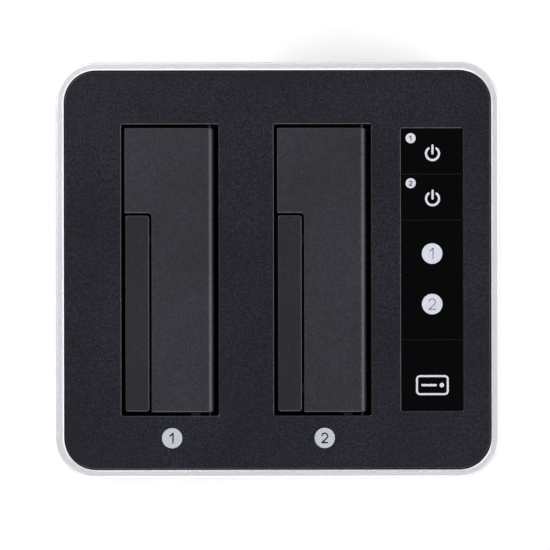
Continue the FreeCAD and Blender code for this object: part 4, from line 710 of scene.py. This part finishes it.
def ribbon_film(name, pitch_mm):
    """White film with the conductors showing through as grey lines."""
    material, tree, shader, where = new_finish(name, IOR=1.6)
    axis = add(tree, "ShaderNodeSeparateXYZ", {0: where})
    turns = add(tree, "ShaderNodeMath", {0: axis.outputs["Y"], 1: 2 * math.pi / (pitch_mm * MM)},
                operation="MULTIPLY")
    wave = add(tree, "ShaderNodeMath", {0: turns.outputs[0]}, operation="SINE")
    lines = add(tree, "ShaderNodeMapRange", {"Value": wave.outputs[0], "From Min": -0.2, "From Max": 0.4})
    tone = add(tree, "ShaderNodeMix", {0: lines.outputs[0], 6: linear("#e4e6ea"), 7: linear("#a9adb5")},
               data_type="RGBA")
    tree.links.new(tone.outputs[2], shader.inputs["Base Color"])
    gloss = add(tree, "ShaderNodeMapRange", {"Value": wave.outputs[0], "From Min": -1.0, "To Min": 0.3,
                                             "To Max": 0.4})
    tree.links.new(gloss.outputs[0], shader.inputs["Roughness"])
    return material


dress(ribbon_film("polyester ribbon with tinned conductors", RIBBON_PITCH), "ribbon_cable")

# ---------------------------------------------------------------------------------------------- housing sleeve
# Extruded aluminium, bead-blasted and clear anodised. The blast leaves a fine even frost that spreads
# every reflection, so the rim reads as a soft pale band.
def blasted_aluminium(name):
    """Anodised aluminium after bead blasting: pale frost, tiny dimples, faint cloudiness."""
    material, tree, shader, where = new_finish(name, Metallic=1.0)
    frost = add(tree, "ShaderNodeTexNoise", {"Vector": where, "Scale": 1000 / 0.5, "Detail": 3.0})
    cloud = add(tree, "ShaderNodeTexNoise", {"Vector": where, "Scale": 1000 / 35, "Detail": 2.0})
    blend = add(tree, "ShaderNodeMath", {0: cloud.outputs["Fac"], 1: 0.3, 2: frost.outputs["Fac"]},
                operation="MULTIPLY_ADD")
    reach = add(tree, "ShaderNodeMapRange", {"Value": blend.outputs[0], "From Min": 0.45, "From Max": 0.85})
    tone = add(tree, "ShaderNodeMix", {0: reach.outputs[0], 6: linear("#d6d7db"), 7: linear("#e4e5e9")},
               data_type="RGBA")
    tree.links.new(tone.outputs[2], shader.inputs["Base Color"])
    matt = add(tree, "ShaderNodeMapRange", {"Value": frost.outputs["Fac"], "From Min": 0.3, "From Max": 0.7,
                                            "To Min": 0.52, "To Max": 0.64})
    tree.links.new(matt.outputs[0], shader.inputs["Roughness"])
    bump = add(tree, "ShaderNodeBump", {"Height": frost.outputs["Fac"], "Strength": 0.4,
                                        "Distance": 0.02 * MM})
    tree.links.new(bump.outputs[0], shader.inputs["Normal"])
    return material


dress(blasted_aluminium("bead-blasted, clear anodised aluminium"), "housing_sleeve")

# ---------------------------------------------------------------------------------------------- rear ports
# A black ABS plate closes the sleeve's port bay. The data port has a nickel-plated steel shell round a
# contact tongue, and the power jack is a black nylon block with a plated centre pin.
dress(base_abs, "rear_io_plate")
dress(drawn_metal("nickel-plated steel shell", "#d0d0cd", "#a3a3a0", 0.28, (60, 900, 60)), "usb_shell")
dress(moulded_epoxy("black jack nylon", "#0d0d0f", "#19191c", 0.4), "dc_jack")
dress(gold, "dc_jack_pin")
tongue_low, tongue_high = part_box("usb_tongue")
tongue_x = (tongue_low[0] + tongue_high[0]) / 2 / MM
tongue_z = (tongue_low[2] + tongue_high[2]) / 2 / MM
PAD_PITCH = 0.5
PADS = 12
PAD_SIZE = (0.26, 2.6, 0.05)
PAD_SETBACK = 1.9
PAD_FROM_MIDDLE = 0.36
for side, label in ((-1, "lower"), (1, "upper")):
    lead_row(f"usb_pads_{label}", "housing", PADS,
             (tongue_x - (PADS - 1) * PAD_PITCH / 2, tongue_high[1] / MM - PAD_SETBACK,
              tongue_z + side * PAD_FROM_MIDDLE), (PAD_PITCH, 0, 0), PAD_SIZE, gold)

# ---------------------------------------------------------------------------------------------- screws
# Pan-head screws in black zinc. The long ones run from the base to the panel's posts under the feet.
dress(drawn_metal("black zinc steel", "#47474a", "#2a2a2c", 0.35, (500, 500, 500)),
      "tie_screws", "well_screws", "board_screws", "control_board_screws")


# ---------------------------------------------------------------------------------------------- feet
# Four round rubber feet, moulded with a soft edge and three grip rings, stuck over the long screws.
def foot_rubber(name):
    """Moulded rubber: deep matt black with a dry bloom and a fine pebbled skin."""
    material, tree, shader, where = new_finish(name, IOR=1.52)
    skin = add(tree, "ShaderNodeTexVoronoi", {"Vector": where, "Scale": 1000 / 0.6})
    bloom = add(tree, "ShaderNodeTexNoise", {"Vector": where, "Scale": 1000 / 5, "Detail": 4.0})
    tone = add(tree, "ShaderNodeMix", {0: bloom.outputs["Fac"], 6: linear("#0e0e0e"), 7: linear("#1f1f1f")},
               data_type="RGBA")
    tree.links.new(tone.outputs[2], shader.inputs["Base Color"])
    dry = add(tree, "ShaderNodeMapRange", {"Value": bloom.outputs["Fac"], "To Min": 0.7, "To Max": 0.9})
    tree.links.new(dry.outputs[0], shader.inputs["Roughness"])
    bump = add(tree, "ShaderNodeBump", {"Height": skin.outputs["Distance"], "Strength": 0.4,
                                        "Distance": 0.04 * MM})
    tree.links.new(bump.outputs[0], shader.inputs["Normal"])
    return material


FOOT_RADIUS = 7.5
FOOT_EDGE = 0.7
RING_HEIGHT = 0.35
RING_PLACES = (0.28, 0.5, 0.72)
RING_SHAPE = ((-0.055, RING_HEIGHT), (-0.04, 0.05), (-0.025, 0.0), (0.025, 0.0), (0.04, 0.05),
              (0.055, RING_HEIGHT))


def foot_mesh(radius, top):
    """One foot about the Z axis: its outline turned round, with three grip rings on the underside.
    The rings' places and widths are shares of the radius, their heights millimetres above the table."""
    outline = [(0.0, RING_HEIGHT * MM)]
    for ring in RING_PLACES:
        for offset, z in RING_SHAPE:
            outline.append(((ring + offset) * radius, z * MM))
    edge = FOOT_EDGE * MM
    for i in range(7):
        angle = math.radians(90 * i / 6)
        outline.append((radius - edge + edge * math.sin(angle), edge - edge * math.cos(angle)))
    outline += [(radius, top), (0.0, top)]
    shape = bmesh.new()
    line = [shape.verts.new((r, 0, z)) for r, z in outline]
    edges = [shape.edges.new(pair) for pair in zip(line, line[1:])]
    bmesh.ops.spin(shape, geom=line + edges, cent=(0, 0, 0), axis=(0, 0, 1), angle=2 * math.pi, steps=64)
    bmesh.ops.remove_doubles(shape, verts=shape.verts, dist=1e-6)
    bmesh.ops.recalc_face_normals(shape, faces=shape.faces)
    mesh = bpy.data.meshes.new("foot")
    shape.to_mesh(mesh)
    shape.free()
    return mesh


def foot_tree():
    """One foot at each point."""
    tree, inputs = tree_with_inputs("feet", ("Foot", "Object"), ("Material", "Material"))
    shape = add(tree, "GeometryNodeObjectInfo", {"Object": inputs["Foot"]}, transform_space="ORIGINAL")
    copies = add(tree, "GeometryNodeInstanceOnPoints", {"Points": inputs["Geometry"],
                                                        "Instance": shape.outputs["Geometry"]})
    close_tree(tree, copies.outputs[0], inputs["Material"])
    return tree


feet_low, feet_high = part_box("rubber_feet")
foot_radius = FOOT_RADIUS * MM
pattern = bpy.data.objects.new("foot_pattern", foot_mesh(foot_radius, feet_high[2]))
bpy.context.collection.objects.link(pattern)
corners = bpy.data.meshes.new("foot_places")
corners.from_pydata([(x, y, 0) for x in (feet_low[0] + foot_radius, feet_high[0] - foot_radius)
                     for y in (feet_low[1] + foot_radius, feet_high[1] - foot_radius)], [], [])
feet = grown("rubber_feet_ringed", foot_tree(), "housing",
             {"Foot": pattern, "Material": foot_rubber("moulded black rubber")}, corners)
bpy.data.objects.remove(pattern)
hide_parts("rubber_feet")

# ---------------------------------------------------------------------------------------------- studio
# Plain white table that glows very faintly, a bright surround that darkens overhead, and large soft
# lights, the main one at the upper left. The camera looks straight down.
REACH = 8.0
TABLE_LIFT = 0.09
floor_mesh = bpy.data.meshes.new("table")
floor_mesh.from_pydata([(-REACH, -REACH, 0), (REACH, -REACH, 0), (REACH, REACH, 0), (-REACH, REACH, 0)], [],
                       [(0, 1, 2, 3)])
table = bpy.data.objects.new("table", floor_mesh)
bpy.context.collection.objects.link(table)
paper, tree, shader, where = new_finish("white paper", Roughness=0.9)
shader.inputs["Specular IOR Level"].default_value = 0.1
shader.inputs["Emission Color"].default_value = (1, 1, 1, 1)
shader.inputs["Emission Strength"].default_value = TABLE_LIFT
fibres = add(tree, "ShaderNodeTexNoise", {"Vector": where, "Scale": 1000 / 40, "Detail": 3.0})
tone = add(tree, "ShaderNodeMix", {0: fibres.outputs["Fac"], 6: linear("#f2f2f2"), 7: linear("#f6f6f6")},
           data_type="RGBA")
tree.links.new(tone.outputs[2], shader.inputs["Base Color"])
floor_mesh.materials.append(paper)

world = bpy.data.worlds.new("surround")
bpy.context.scene.world = world
world.use_nodes = True
sky = world.node_tree
sky.nodes.clear()
up = add(sky, "ShaderNodeTexCoord").outputs["Generated"]
rise = add(sky, "ShaderNodeSeparateXYZ", {0: up})
glow = add(sky, "ShaderNodeMapRange", {"Value": rise.outputs["Z"], "From Min": 0.3, "From Max": 0.9,
                                       "To Min": 0.62, "To Max": 0.016})
light = add(sky, "ShaderNodeBackground", {"Strength": glow.outputs[0]})
add(sky, "ShaderNodeOutputWorld", {"Surface": light.outputs[0]})


AIM = (0, 0, 0.05)


def soft_light(name, place, power, size):
    """A square soft light aimed at the middle of the object. Place and size are in metres."""
    lamp_data = bpy.data.lights.new(name, "AREA")
    lamp_data.shape = "SQUARE"
    lamp_data.size = size
    lamp_data.energy = power
    lamp_object = bpy.data.objects.new(name, lamp_data)
    lamp_object.location = place
    aim = Vector(AIM) - Vector(place)
    lamp_object.rotation_euler = aim.to_track_quat("-Z", "Y").to_euler()
    bpy.context.collection.objects.link(lamp_object)


soft_light("main_light", (-0.46, 0.38, 0.5), 3.9, 0.52)
soft_light("right_light", (1.3, 0.0, 1.05), 18.0, 1.4)
soft_light("front_light", (-0.1, -1.4, 1.05), 22.5, 1.5)
soft_light("back_light", (0.3, 1.4, 1.1), 4.0, 1.4)

SENSOR = 36.0
DISTANCE = 1.6
FRAME_WIDTH = 0.1981
OFF_CENTRE = (-0.94, -1.82)
CAMERA_TURN = -0.1
camera_data = bpy.data.cameras.new("camera")
camera_data.sensor_width = SENSOR
camera_data.lens = SENSOR * DISTANCE / FRAME_WIDTH
camera_data.clip_start = 0.01
camera_data.clip_end = 50.0
camera = bpy.data.objects.new("camera", camera_data)
camera.location = (OFF_CENTRE[0] * MM, OFF_CENTRE[1] * MM, cad_box[1][2] + DISTANCE)
camera.rotation_euler = (0, 0, math.radians(CAMERA_TURN))
bpy.context.collection.objects.link(camera)
bpy.context.scene.camera = camera
bpy.context.scene.view_settings.view_transform = "Standard"
